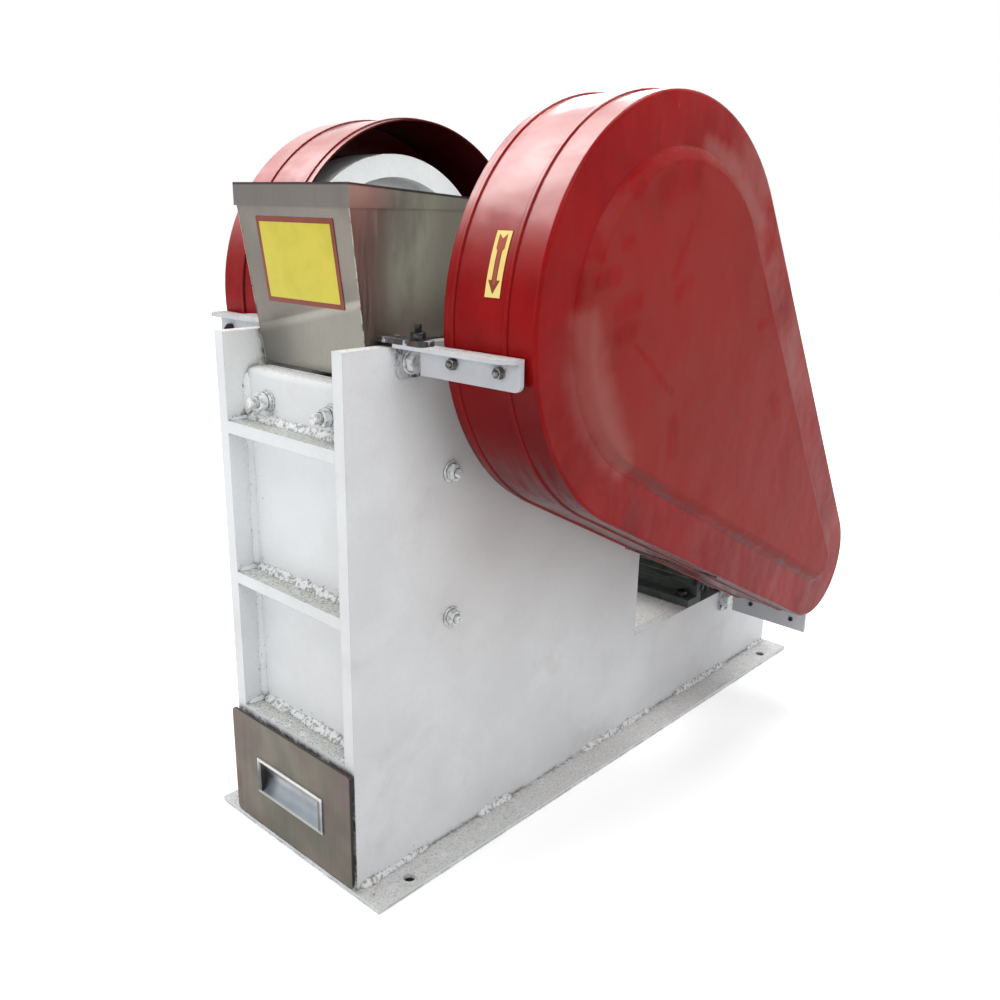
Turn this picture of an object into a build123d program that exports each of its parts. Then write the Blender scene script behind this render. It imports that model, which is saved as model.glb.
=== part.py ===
from build123d import *
from math import acos, atan2, cos, degrees, hypot, pi, sin
import os

os.makedirs("parts", exist_ok=True)

# Frame: X across the machine with the belt guard at +X, Y from the drawer end to the motor end,
# Z up from the floor.
# The origin is the middle of the anchor holes, on the floor.

# Welded frame
frame_w = 220.0  # over the outer faces of the side plates
side_t = 16.0
side_h = 598.0  # side plate at the hopper, above the base plate
upper_len = 517.0  # tall part of the side plates, to the rear wall's back
tail_len = 403.0  # low tail behind it
tail_h = 140.0  # low tail that carries the motor
rear_edge_h = 440.0  # where the upper rear corner is cut off
base_t = 6.0
base_lip = 42.0  # base plate outside the side plates
base_end = 5.0  # base plate past the ends of the side plates
anchor_r = 7.0
anchor_lip = 26.0  # anchor hole from the side plate's outer face
anchor_inset = 54.0  # anchor hole from the end of the side plates
wall_set = 28.0  # front wall behind the side plates' front edges
wall_t = 25.0
wall_top = 558.0
wall_round = 8.0  # along the front wall's top edge
rib_t = 14.0
rib_tops = (152.0, 323.0, 500.5)
rear_wall_t = 16.0
rear_wall_h = 420.0
motor_plate_t = 12.0
end_plate_t = 10.0

# Eccentric shaft and its bearings
shaft_set = 308.0  # shaft behind the front edges
shaft_up = 621.0  # shaft above the base plate
seat_drop = 60.0  # bearing block's foot below the shaft
pad_t = 14.0
pad_w = 50.0
block_len = 180.0
block_w = 44.0
block_r = 54.0
foot_t = 22.0
cap_ledge = 18.0  # cap's bolting ledge beside the block
cap_h = 34.0
cap_split = 1.5  # width and depth of the line between cap and block
bearing_r = 25.0
journal_r = 32.0
throw = 5.0
shoulder = 4.0  # bearing journal past the bearing block
wheel_seat_r = 22.5
shaft_over = 4.0  # shaft end past each wheel's hub
run_fit = 0.05  # running fit of the shaft in its bearings
seat_fit = 0.3  # gap where a piece seats on its neighbour

# Jaws
gape = 120.0
gap_low = 26.0
jaw_t = 20.0  # over the teeth
tooth_h = 7.0
tooth_pitch = 20.0
jaw_top = 552.0
jaw_low = 250.0
cheek_t = 12.0
cheek_top = 540.0
cheek_back = 6.0  # cheek plate behind the swing jaw plate's seat
cheek_gap = 2.0  # fixed jaw plate from each cheek plate
swing_gap = 7.0  # swing jaw from each cheek plate
hub_r = 62.0
pocket_wall = 14.0
pocket_floor = 30.0
pocket_low = 95.0  # pockets above the casting's foot, along the seat
pocket_top = 60.0  # pockets below the top of the seat
toggle_t = 16.0
toggle_w = 120.0
toggle_up = 318.0  # rear toggle seat above the base plate
toggle_low = 284.0  # front toggle seat above the base plate
toggle_block_d = 58.0
toggle_block_h = 60.0
toe_d = 80.0  # swing jaw's depth at its lower end
rod_r = 8.0
rod_up = 245.0  # tension rod above the base plate
rod_past = 92.0  # tension rod behind the rear wall
rod_hole = 3.0
rod_collar_r = 22.0
rod_collar_t = 5.0
rod_nut = 24.0  # across the flats
rod_nut_t = 13.0
spring_r = 20.0
spring_len = 62.0
spring_wire = 6.0
spring_pitch = 11.0

# Feed hopper
hopper_top_w = 186.0
hopper_low_w = 176.0
hopper_top_z = 751.0
hopper_fall = 13.0  # top edge at the back below the front
band_h = 23.0
hem_t = 2.5  # folded hem outside the top of the walls
hopper_low_z = 563.0
hopper_front = 27.0  # top front edge behind the side plates' front edges
hopper_back = 215.0
hopper_low_front = 50.0
hopper_low_back = 208.0
sheet_t = 2.0
lug_t = 5.0
lug_w = 22.0
lug_reach = 46.0  # lug outside the side plate
lug_set = 58.5
lug_round = 8.0

# Belt guard and flywheel guard
guard_r = 224.0
guard_small_r = 84.0
guard_rise = 5.0  # guard's small end above the motor's axis
guard_gap = 50.0  # guard's open side from the side plate
guard_d = 116.0
guard_t = 2.0
guard_round = 3.5
panel_inset = 52.0
panel_h = 11.0
panel_taper = 50.0
panel_round = 6.0
bead_w = 6.0
bead_h = 2.0
bead_round = 1.8
bead_at = (8.5, 77.0)  # beads from the guard's open side
drum_r = 212.0
drum_gap = 8.0
drum_d = 122.0
angle_t = 4.0
angle_flat = 24.0
angle_leg = 31.0
angle_rise = 4.0  # front brackets' tops above the side plates
angle_notch = 19.0  # leg cut away beside the cleat
angle_cut = 11.0  # corner off the end of the flat
angle_end = 8.0  # round at the end of the leg
angle_short = 10.0  # bracket's end before the guard's closed face
angle_round = 3.0  # in the root of each angle
cleat_t = 5.0
cleat_w = 34.0
cleat_cut = 4.0
low_flat = 28.0
low_leg = 34.0
low_notch = 30.0
low_angle_set = 8.0  # low bracket's leg behind the wheel's axis
low_cleat_set = 43.0  # low cleat's middle behind the wheel's axis

# Flywheel, pulleys and belts
wheel_r = 172.0
wheel_rim = 28.0
wheel_w = 62.0
wheel_gap = 50.0  # flywheel from the side plate
web_t = 14.0
web_round = 8.0
hub_out_r = 42.0
hub_w = 70.0
pulley_gap = 68.0  # driven pulley from the side plate
pulley_w = 60.0
groove_w = 17.0
groove_low_w = 11.4
groove_d = 12.0
groove_pitch = 22.0
motor_pulley_r = 50.0
belt_count = 2
belt_h = 10.0
belt_proud = 1.0
belt_fit = 0.5

# Motor
motor_back = 210.0  # motor axis behind the rear wall
motor_up = 100.0  # motor axis above its plate
motor_face = 45.0  # shaft shoulder outside the side plate
motor_frame_r = 78.0
fin_h = 10.0
fin_t = 3.0
fin_count = 32
motor_frame_len = 178.0
shield_len = 42.0
shield_rim = 14.0
shield_boss_r = 34.0
shield_step = 10.0
cowl_len = 82.0
cowl_r = 88.0
cowl_round = 18.0
cowl_t = 2.0
slot_w = 6.0  # ring slots in the cowl's end
slot_pitch = 13.0
slot_first = 20.0
slot_count = 4
spoke_w = 9.0
fan_hub_r = 15.0
fan_r = 70.0
fan_w = 34.0
fan_gap = 14.0  # fan from the cowl's end
blade_t = 3.0
blade_count = 7
motor_foot_w = 136.0  # over the outer edges of the feet
motor_foot_t = 12.0
foot_ledge = 24.0
motor_foot_len = 172.0
motor_shaft_r = 14.0
motor_shaft_len = 80.0
term_w = 92.0
term_l = 84.0
term_h = 38.0
term_round = 8.0
lid_h = 9.0
lid_over = 3.0
gland_r = 12.0
gland_bore = 7.0
gland_len = 16.0

# Drawer
front_gap = 5.0
front_t = 3.0
front_w = 224.0
front_top = 146.0
front_low = 5.0
front_round = 6.0
tray_side = 6.0
tray_len = 325.0
tray_h = 108.0
tray_t = 2.0
runner_h = 8.0
runner_w = 22.0
pull_w = 124.0
pull_h = 46.0
pull_up = 74.0
pull_rim = 3.0  # pull's flange around its cut-out
pull_proud = 2.0
pull_cap = 7.0  # closed ends of the channel
pull_d = 8.5  # depth of the channel
pull_back = 1.5
pull_round = 1.0

# Positions that follow
frame_len = upper_len + tail_len
side_x = frame_w / 2
inner_x = side_x - side_t
front_y = -frame_len / 2
rear_y = frame_len / 2
top_z = base_t
shaft_y = front_y + shaft_set
shaft_z = top_z + shaft_up
seat_z = shaft_z - seat_drop
wall_y = front_y + wall_set
jaw_y = wall_y + wall_t
rear_wall_y = front_y + upper_len
motor_y = rear_wall_y + motor_back
motor_z = top_z + tail_h + motor_up
side_top_z = top_z + side_h
bracket_z = side_top_z + angle_rise
guard_x = side_x + guard_gap
drum_x = side_x + drum_gap
guard_z = motor_z + guard_rise
jaw_gap_w = 2 * (inner_x - cheek_t)
swing_w = jaw_gap_w - 2 * swing_gap


def box(x0, x1, y0, y1, z0, z1):
    middle = ((x0 + x1) / 2, (y0 + y1) / 2, (z0 + z1) / 2)
    return Pos(*middle) * Box(x1 - x0, y1 - y0, z1 - z0)


def outline(points):
    return make_face(Polyline(*points, close=True))


def across(points, x0, x1):
    return extrude(Plane.YZ.offset(x0) * outline(points), x1 - x0)


def bar_x(y, z, r, x0, x1):
    return extrude(Plane.YZ.offset(x0) * (Pos(y, z) * Circle(r)), x1 - x0)


def bar_y(x, z, r, y0, y1):
    return extrude(Plane.XZ.offset(-y0) * (Pos(x, z) * Circle(r)), -(y1 - y0))


def bar_z(x, y, r, z0, z1):
    return extrude(Plane.XY.offset(z0) * (Pos(x, y) * Circle(r)), z1 - z0)


def turned_x(face, y, z):
    return Pos(0, y, z) * revolve(Plane.XZ * face, Axis.X, 360)


def around(solid, count, y, z):
    axis = Axis((0, y, z), (1, 0, 0))
    return [solid.rotate(axis, 360 * n / count) for n in range(count)]


def mirrored(solid):
    return mirror(solid, Plane.YZ)


# Base plate with its anchor holes
hole_x = side_x + anchor_lip
hole_y = frame_len / 2 - anchor_inset
base_plate = box(-side_x - base_lip, side_x + base_lip, front_y - base_end, rear_y + base_end, 0, base_t)
for x in (-hole_x, hole_x):
    for y in (-hole_y, hole_y):
        base_plate -= bar_z(x, y, anchor_r, 0, base_t)

# Side plates: tall front with the bearing seat cut into the top, low tail behind
pad_z = seat_z - pad_t
pad_y0 = shaft_y - block_len / 2
pad_y1 = shaft_y + block_len / 2
side_points = [
    (front_y, top_z),
    (rear_y, top_z),
    (rear_y, top_z + tail_h),
    (rear_wall_y, top_z + tail_h),
    (rear_wall_y, top_z + rear_edge_h),
    (pad_y1, pad_z),
    (pad_y0, pad_z),
    (pad_y0, side_top_z),
    (front_y, side_top_z),
]
right_side_plate = across(side_points, inner_x, side_x)
left_side_plate = mirrored(right_side_plate)

# Front wall with its three ribs
wall_low = top_z + rib_tops[0] - rib_t
front_wall = box(-inner_x, inner_x, wall_y, wall_y + wall_t, wall_low, top_z + wall_top)
wall_edges = front_wall.edges().filter_by(Axis.X).group_by(Axis.Z)[-1]
front_wall = fillet(wall_edges.sort_by(Axis.Y)[0], wall_round)
front_ribs = [
    box(-inner_x, inner_x, front_y, wall_y, top_z + top - rib_t, top_z + top) for top in rib_tops
]

# Rear wall, motor plate and end plate
rear_wall = box(-inner_x, inner_x, rear_wall_y - rear_wall_t, rear_wall_y, top_z, top_z + rear_wall_h)
rear_wall -= bar_y(0, top_z + rod_up, rod_r + rod_hole, rear_wall_y - rear_wall_t, rear_wall_y)
motor_plate = box(
    -inner_x, inner_x, rear_wall_y, rear_y - end_plate_t, top_z + tail_h - motor_plate_t, top_z + tail_h
)
end_plate = box(-inner_x, inner_x, rear_y - end_plate_t, rear_y, top_z, top_z + tail_h)

# Bearing pads and split bearing blocks
pad_x0 = (side_x + inner_x) / 2 - pad_w / 2
pad_x1 = pad_x0 + pad_w
right_pad = box(pad_x0, pad_x1, pad_y0, pad_y1, pad_z, seat_z)
bearing_pads = [right_pad, mirrored(right_pad)]
block_x0 = (side_x + inner_x) / 2 - block_w / 2
block_x1 = block_x0 + block_w
foot_face = Pos(shaft_y, seat_z + foot_t / 2) * Rectangle(block_len, foot_t)
stem_face = Pos(shaft_y, (seat_z + shaft_z) / 2) * Rectangle(2 * block_r, seat_drop)
cap_face = Pos(shaft_y, shaft_z) * Rectangle(2 * (block_r + cap_ledge), cap_h)
block_face = foot_face + stem_face + cap_face + Pos(shaft_y, shaft_z) * Circle(block_r)
block_face -= Pos(shaft_y, shaft_z) * Circle(bearing_r + run_fit)
split_y = block_r + cap_ledge
split = box(
    block_x0, block_x1, shaft_y - split_y, shaft_y + split_y, shaft_z - cap_split / 2, shaft_z + cap_split / 2
)
split -= box(
    block_x0 + cap_split,
    block_x1 - cap_split,
    shaft_y - split_y + cap_split,
    shaft_y + split_y - cap_split,
    shaft_z - cap_split,
    shaft_z + cap_split,
)
right_bearing_block = extrude(Plane.YZ.offset(block_x0) * block_face, block_w) - split
left_bearing_block = mirrored(right_bearing_block)

# Toothed jaw plates: one profile of vertical teeth, laid on each seat


def toothed_face(width):
    count = int(width / tooth_pitch)
    start = -count * tooth_pitch / 2
    points = [(-width / 2, 0), (width / 2, 0), (width / 2, jaw_t - tooth_h)]
    for n in range(count, 0, -1):
        right = start + n * tooth_pitch
        points += [(right, jaw_t - tooth_h), (right - tooth_pitch / 2, jaw_t)]
    points += [(start, jaw_t - tooth_h), (-width / 2, jaw_t - tooth_h)]
    kept = [p for n, p in enumerate(points) if p != points[n - 1]]
    return outline(kept)


fixed_w = jaw_gap_w - 2 * cheek_gap
fixed_plane = Plane((0, jaw_y, top_z + jaw_low), x_dir=(1, 0, 0), z_dir=(0, 0, 1))
fixed_jaw_plate = extrude(fixed_plane * toothed_face(fixed_w), jaw_top - jaw_low)

swing_top = (jaw_y + jaw_t + gape, top_z + jaw_top)
swing_low = (jaw_y + jaw_t + gap_low, top_z + jaw_low)
swing_len = hypot(swing_top[0] - swing_low[0], swing_top[1] - swing_low[1])
along = ((swing_top[0] - swing_low[0]) / swing_len, (swing_top[1] - swing_low[1]) / swing_len)
back = (along[1], -along[0])
seat_top = (swing_top[0] + jaw_t * back[0], swing_top[1] + jaw_t * back[1])
seat_low = (swing_low[0] + jaw_t * back[0], swing_low[1] + jaw_t * back[1])
swing_plane = Plane((0, *seat_low), x_dir=(-1, 0, 0), z_dir=(0, *along))
swing_jaw_plate = extrude(swing_plane * toothed_face(swing_w), swing_len)

# Swing jaw casting: bearing hub, flat seat for its jaw plate, foot with the toggle seat, ribbed back
toe_y = seat_low[0] + toe_d * back[0]
toe_z = seat_low[1] + toe_d * back[1]
toggle_z = top_z + toggle_low
heel = (toe_y, toggle_z + toggle_t)


def tangent_to_hub(point, side):
    run = (point[0] - shaft_y, point[1] - shaft_z)
    turn = atan2(run[1], run[0]) + side * acos(hub_r / hypot(*run))
    return (shaft_y + hub_r * cos(turn), shaft_z + hub_r * sin(turn))


def from_foot(up, deep):
    return (seat_low[0] + up * along[0] + deep * back[0], seat_low[1] + up * along[1] + deep * back[1])


swing_front = [tangent_to_hub(seat_top, -1), seat_top, seat_low]
swing_outline = [*swing_front, (toe_y, toe_z), heel, tangent_to_hub(heel, 1)]
swing_jaw = across(swing_outline, -swing_w / 2, swing_w / 2)
swing_jaw += bar_x(shaft_y, shaft_z, hub_r, -swing_w / 2, swing_w / 2)
journal_bore = journal_r + throw + seat_fit
swing_jaw -= bar_x(shaft_y, shaft_z, journal_bore, -swing_w / 2, swing_w / 2)
swing_jaw -= bar_x(toe_y, toggle_z, toggle_t / 2 + seat_fit, -swing_w / 2, swing_w / 2)
pocket_high = swing_len - pocket_top
pocket_points = [
    from_foot(pocket_low, pocket_floor),
    from_foot(pocket_high, pocket_floor),
    from_foot(pocket_high, pocket_floor + swing_len),
    from_foot(pocket_low, pocket_floor + swing_len),
]
pocket = across(pocket_points, pocket_wall / 2, swing_w / 2 - pocket_wall)
swing_jaw -= pocket
swing_jaw -= mirrored(pocket)

# Toggle plate and the block that it bears on
block_y0 = rear_wall_y - rear_wall_t - toggle_block_d
toggle_block = box(
    -inner_x,
    inner_x,
    block_y0,
    rear_wall_y - rear_wall_t,
    top_z + toggle_up - toggle_block_h / 2,
    top_z + toggle_up + toggle_block_h / 2,
)
toggle_block -= bar_x(block_y0, top_z + toggle_up, toggle_t / 2 + seat_fit, -inner_x, inner_x)
toggle_run = (block_y0 - toe_y, toggle_up - toggle_low)
toggle_len = hypot(*toggle_run)
toggle_tilt = degrees(atan2(toggle_run[1], toggle_run[0]))
toggle_face = SlotCenterToCenter(toggle_len, toggle_t)
toggle_mid = Pos((toe_y + block_y0) / 2, top_z + (toggle_up + toggle_low) / 2)
toggle_plate = extrude(
    Plane.YZ.offset(-toggle_w / 2) * (toggle_mid * Rot(0, 0, toggle_tilt) * toggle_face), toggle_w
)

# Tension rod through the rear wall, with a coil spring held by a collar and nut behind it
rod_z = top_z + rod_up
collar_y = rear_wall_y + spring_len
nut_y = collar_y + rod_collar_t
tension_rod = bar_y(0, rod_z, rod_r, toe_y + seat_fit, rear_wall_y + rod_past)
tension_rod += bar_y(0, rod_z, rod_collar_r, collar_y, nut_y)
nut_face = Pos(0, rod_z) * RegularPolygon(rod_nut / 2, 6, major_radius=False)
tension_rod += extrude(Plane.XZ.offset(-nut_y) * nut_face, -rod_nut_t)
coil_path = Helix(spring_pitch, spring_len + spring_wire, spring_r - spring_wire / 2)
coil = sweep(Plane(coil_path @ 0, z_dir=coil_path % 0) * Circle(spring_wire / 2), coil_path, is_frenet=True)
coil = Plane((0, rear_wall_y - spring_wire / 2, rod_z), z_dir=(0, 1, 0)) * coil
tension_spring = coil & bar_y(0, rod_z, spring_r + spring_wire, rear_wall_y, collar_y)

# Cheek plates beside the chamber
lean = along[0] / along[1]  # swing jaw's run in Y for each unit of Z
cheek_rear = seat_low[0] + cheek_back
cheek_points = [
    (jaw_y, top_z + jaw_low),
    (cheek_rear, top_z + jaw_low),
    (cheek_rear + lean * (cheek_top - jaw_low), top_z + cheek_top),
    (jaw_y, top_z + cheek_top),
]
right_cheek_plate = across(cheek_points, inner_x - cheek_t, inner_x)
left_cheek_plate = mirrored(right_cheek_plate)

# Hopper: vertical band above four tapering walls, with the top edge falling to the back


def hopper_body(inset):
    top_z0 = top_z + hopper_top_z - band_h
    top_y = front_y + (hopper_front + hopper_back) / 2
    low_y = front_y + (hopper_low_front + hopper_low_back) / 2
    top_size = (hopper_top_w - 2 * inset, hopper_back - hopper_front - 2 * inset)
    low_size = (hopper_low_w - 2 * inset, hopper_low_back - hopper_low_front - 2 * inset)
    top_face = Pos(0, top_y, top_z0) * Rectangle(*top_size)
    low_face = Pos(0, low_y, top_z + hopper_low_z) * Rectangle(*low_size)
    return loft([low_face, top_face]) + extrude(top_face, band_h)


rim_x = hopper_top_w / 2 + hem_t
rim_y0, rim_y1 = front_y + hopper_front - hem_t, front_y + hopper_back + hem_t
rim_z = top_z + hopper_top_z
hem = box(-rim_x, rim_x, rim_y0, rim_y1, rim_z - band_h, rim_z)
hopper = hopper_body(0) + hem - hopper_body(sheet_t)
hopper -= across([(rim_y0, rim_z), (rim_y1, rim_z), (rim_y1, rim_z - hopper_fall)], -rim_x, rim_x)
lug_y = front_y + lug_set
lug_x0, lug_x1 = hopper_low_w / 2, side_x + lug_reach
lug_face = Pos((lug_x0 + lug_x1) / 2, lug_y + lug_w / 2) * Rectangle(lug_x1 - lug_x0, lug_w)
lug_face = fillet(lug_face.vertices().group_by(Axis.X)[-1], lug_round)
right_lug = extrude(Plane.XY.offset(bracket_z) * lug_face, lug_t) - hopper_body(0)
hopper_lugs = [right_lug, mirrored(right_lug)]

# Belt guard: pressed teardrop shell, open towards the frame


def teardrop_loop(big_r, small_r, small_z):
    run = (motor_y - shaft_y, small_z - shaft_z)
    turn = atan2(run[1], run[0])
    spread = acos((big_r - small_r) / hypot(*run))

    def on_big(a):
        return (shaft_y + big_r * cos(a), shaft_z + big_r * sin(a))

    def on_small(a):
        return (motor_y + small_r * cos(a), small_z + small_r * sin(a))

    high, low = turn + spread, turn - spread
    edges = [
        Line(on_big(high), on_small(high)),
        ThreePointArc(on_small(high), on_small(turn), on_small(low)),
        Line(on_small(low), on_big(low)),
        ThreePointArc(on_big(low), on_big(turn + pi), on_big(high)),
    ]
    return Curve() + edges


def teardrop(x, inset):
    loop = teardrop_loop(guard_r - inset, guard_small_r - inset, guard_z)
    return Plane.YZ.offset(x) * make_face(loop)


def raised_panel(face):
    panel = extrude(face, panel_h, taper=panel_taper)
    return fillet(panel.faces().sort_by(Axis.X)[-1].edges(), panel_round)


def guard_form(inset):
    body = extrude(teardrop(guard_x, inset), guard_d - inset)
    body = fillet(body.faces().sort_by(Axis.X)[-1].edges(), guard_round - inset)
    return body + raised_panel(teardrop(guard_x + guard_d - inset, panel_inset))


def rounded_ring(solid):
    ends = solid.faces().sort_by(Axis.X)
    return fillet(ends[0].edges() + ends[-1].edges(), bead_round)


belt_guard = guard_form(0)
for at in bead_at:
    belt_guard += rounded_ring(extrude(teardrop(guard_x + at, -bead_h), bead_w))
belt_guard -= guard_form(guard_t)

# Flywheel guard: the same pressing as a round drum, made at +X and mirrored


def drum_form(inset):
    body = bar_x(shaft_y, shaft_z, drum_r - inset, drum_x, drum_x + drum_d - inset)
    body = fillet(body.faces().sort_by(Axis.X)[-1].edges(), guard_round - inset)
    panel_face = Pos(shaft_y, shaft_z) * Circle(drum_r - panel_inset)
    return body + raised_panel(Plane.YZ.offset(drum_x + drum_d - inset) * panel_face)


drum = drum_form(0)
for at in bead_at:
    drum += rounded_ring(bar_x(shaft_y, shaft_z, drum_r + bead_h, drum_x + at, drum_x + at + bead_w))
flywheel_guard = mirrored(drum - drum_form(guard_t))

# Guard brackets: angles welded to cleats that are bolted to the side plates
bracket_x = side_x + cleat_t
guard_seat = bead_h + seat_fit  # bracket's face outside the guard's rim


def cleat(y, low, top):
    plate = box(side_x, bracket_x, y - cleat_w / 2, y + cleat_w / 2, low, top)
    return chamfer(plate.edges().filter_by(Axis.X), cleat_cut)


def angle_bar(y, z, flat, leg, notch, x1):
    side = 1 if flat > 0 else -1
    root_y, root_z = y + side * angle_t, z - angle_t
    flat_points = [(y, z), (y + flat, z), (y + flat, root_z), (root_y, root_z)]
    section = outline([*flat_points, (root_y, z - leg), (y, z - leg)])
    root = section.vertices().sort_by_distance((root_y, root_z, 0))[0]
    bar = extrude(Plane.YZ.offset(bracket_x) * fillet(root, angle_round), x1 - bracket_x)
    leg_y = sorted((y, root_y + side * angle_round))
    return bar - box(bracket_x, bracket_x + notch, *leg_y, z - leg, root_z)


def front_bracket(r, x1):
    bar = angle_bar(shaft_y - r - guard_seat, bracket_z, -angle_flat, angle_leg, angle_notch, x1)
    flat_corner = bar.edges().filter_by(Axis.Z).group_by(Axis.X)[-1].sort_by(Axis.Y)[0]
    bar = chamfer(flat_corner, angle_cut)
    leg_corner = bar.edges().filter_by(Axis.Y).group_by(Axis.X)[-1].sort_by(Axis.Z)[0]
    return fillet(leg_corner, angle_end)


def low_bracket(y, top, x1):
    return angle_bar(y + low_angle_set, top, low_flat, low_leg, low_notch, x1)


guard_low_z = guard_z - guard_small_r - guard_seat
drum_low_z = shaft_z - drum_r - guard_seat
guard_end = guard_x + guard_d - angle_short
drum_end = drum_x + drum_d
right_front_bracket = front_bracket(guard_r, guard_end)
left_front_bracket = mirrored(front_bracket(drum_r, drum_end))
right_low_bracket = low_bracket(motor_y, guard_low_z, guard_end)
left_low_bracket = mirrored(low_bracket(shaft_y, drum_low_z, drum_end))
flat_mid = angle_t / 2
cleat_low = bracket_z - flat_mid - cleat_w
bracket_cleats = [
    cleat(shaft_y - guard_r, cleat_low, bracket_z - flat_mid),
    cleat(motor_y + low_cleat_set, top_z + tail_h - cleat_w, guard_low_z - flat_mid),
    mirrored(cleat(shaft_y - drum_r, cleat_low, bracket_z - flat_mid)),
    mirrored(cleat(shaft_y + low_cleat_set, drum_low_z - flat_mid - cleat_w, drum_low_z - flat_mid)),
]

# Eccentric shaft with flywheel and driven pulley
wheel_x0 = side_x + wheel_gap
pulley_x0 = side_x + pulley_gap
shaft_left = wheel_x0 + (wheel_w + hub_w) / 2 + shaft_over
shaft_right = pulley_x0 + (pulley_w + hub_w) / 2 + shaft_over
eccentric_shaft = bar_x(shaft_y, shaft_z, wheel_seat_r, -shaft_left, shaft_right)
eccentric_shaft += bar_x(shaft_y, shaft_z, bearing_r, -block_x1 - shoulder, block_x1 + shoulder)
eccentric_shaft += bar_x(shaft_y, shaft_z - throw, journal_r, -swing_w / 2, swing_w / 2)


def groove_points(mid, r, count):
    points = []
    for n in range(count):
        c = mid + groove_pitch * ((count - 1) / 2 - n)
        points += [(c + groove_w / 2, r), (c + groove_low_w / 2, r - groove_d)]
        points += [(c - groove_low_w / 2, r - groove_d), (c - groove_w / 2, r)]
    return points


def wheel(x0, width, grooves):
    mid = x0 + width / 2
    x1 = x0 + width
    rim_in = wheel_r - wheel_rim
    web0, web1 = mid - web_t / 2, mid + web_t / 2
    h0, h1 = mid - hub_w / 2, mid + hub_w / 2
    points = [(h0, wheel_seat_r), (h1, wheel_seat_r), (h1, hub_out_r), (web1, hub_out_r), (web1, rim_in)]
    points += [(x1, rim_in), (x1, wheel_r), *groove_points(mid, wheel_r, grooves), (x0, wheel_r)]
    points += [(x0, rim_in), (web0, rim_in), (web0, hub_out_r), (h0, hub_out_r)]
    section = outline(points)
    web_ends = section.vertices().filter_by_position(Axis.Y, hub_out_r - seat_fit, rim_in + seat_fit)
    corners = web_ends.filter_by_position(Axis.X, web0 - seat_fit, web1 + seat_fit)
    return turned_x(fillet(corners, web_round), shaft_y, shaft_z)


flywheel = mirrored(wheel(wheel_x0, wheel_w, 0))
driven_pulley = wheel(pulley_x0, pulley_w, belt_count)

# Motor
motor_x1 = side_x + motor_face
shield_x = motor_x1 - shield_len
frame_x0 = shield_x - motor_frame_len
cowl_x0 = frame_x0 - cowl_len
fin_r = motor_frame_r + fin_h
motor_frame = bar_x(motor_y, motor_z, motor_frame_r, frame_x0, shield_x)
fin = box(frame_x0, shield_x, motor_y - fin_t / 2, motor_y + fin_t / 2, motor_z, motor_z + fin_r)
motor_frame += around(fin, fin_count, motor_y, motor_z)
foot_z = motor_z - motor_up
foot_mid = (frame_x0 + shield_x) / 2
foot_y1 = motor_foot_w / 2
web_y1 = foot_y1 - foot_ledge
web_y0 = web_y1 - motor_foot_t
foot_points = [
    (web_y0, 0),
    (foot_y1, 0),
    (foot_y1, motor_foot_t),
    (web_y1, motor_foot_t),
    (web_y1, motor_up),
    (web_y0, motor_up),
]
for side in (-1, 1):
    points = [(motor_y + side * y, foot_z + z) for y, z in foot_points]
    motor_frame += across(points, foot_mid - motor_foot_len / 2, foot_mid + motor_foot_len / 2)

# Drive-end shield with the shaft end
shield_face = outline(
    [
        (shield_x, 0),
        (shield_x, motor_frame_r),
        (shield_x + shield_rim, motor_frame_r),
        (motor_x1 - shield_step, shield_boss_r),
        (motor_x1, shield_boss_r),
        (motor_x1, motor_shaft_r),
        (motor_x1 + motor_shaft_len, motor_shaft_r),
        (motor_x1 + motor_shaft_len, 0),
    ]
)
motor_shield = turned_x(shield_face, motor_y, motor_z)

# Fan cowl: pressed cup with ring slots in its end, and the fan inside
cowl = bar_x(motor_y, motor_z, cowl_r, cowl_x0, frame_x0)
cowl = fillet(cowl.faces().sort_by(Axis.X)[0].edges(), cowl_round)
cowl = offset(cowl, -cowl_t, openings=cowl.faces().sort_by(Axis.X)[-1])
slots = Sketch()
for n in range(slot_count):
    ring_r = slot_first + n * slot_pitch
    slots += Circle(ring_r + slot_w) - Circle(ring_r)
slots -= Rectangle(2 * cowl_r, spoke_w) + Rectangle(spoke_w, 2 * cowl_r)
fan_cowl = cowl - extrude(Plane.YZ.offset(cowl_x0) * (Pos(motor_y, motor_z) * slots), cowl_t)
fan_x0 = cowl_x0 + cowl_t + fan_gap
cooling_fan = bar_x(motor_y, motor_z, fan_hub_r, fan_x0, frame_x0)
blade = box(fan_x0, fan_x0 + fan_w, motor_y - blade_t / 2, motor_y + blade_t / 2, motor_z, motor_z + fan_r)
cooling_fan += around(blade, blade_count, motor_y, motor_z)

# Terminal box with its lid and an empty cable gland
term_z = motor_z + fin_r
lid_z = term_z + term_h
term_face = RectangleRounded(term_l, term_w, term_round)
lid_face = RectangleRounded(term_l + 2 * lid_over, term_w + 2 * lid_over, term_round + lid_over)
gland_y = motor_y + term_w / 2
terminal_box = extrude(Pos(foot_mid, motor_y, term_z) * term_face, term_h)
terminal_box += extrude(Pos(foot_mid, motor_y, lid_z) * lid_face, lid_h)
terminal_box += bar_y(foot_mid, term_z + term_h / 2, gland_r, gland_y, gland_y + gland_len)
terminal_box -= bar_y(foot_mid, term_z + term_h / 2, gland_bore, gland_y, gland_y + gland_len)

# Motor pulley and belts
pulley_mid = pulley_x0 + pulley_w / 2
pulley_x1 = pulley_x0 + pulley_w
pulley_points = [(pulley_x0, motor_shaft_r), (pulley_x1, motor_shaft_r), (pulley_x1, motor_pulley_r)]
pulley_points += [*groove_points(pulley_mid, motor_pulley_r, belt_count), (pulley_x0, motor_pulley_r)]
motor_pulley = turned_x(outline(pulley_points), motor_y, motor_z)


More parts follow.
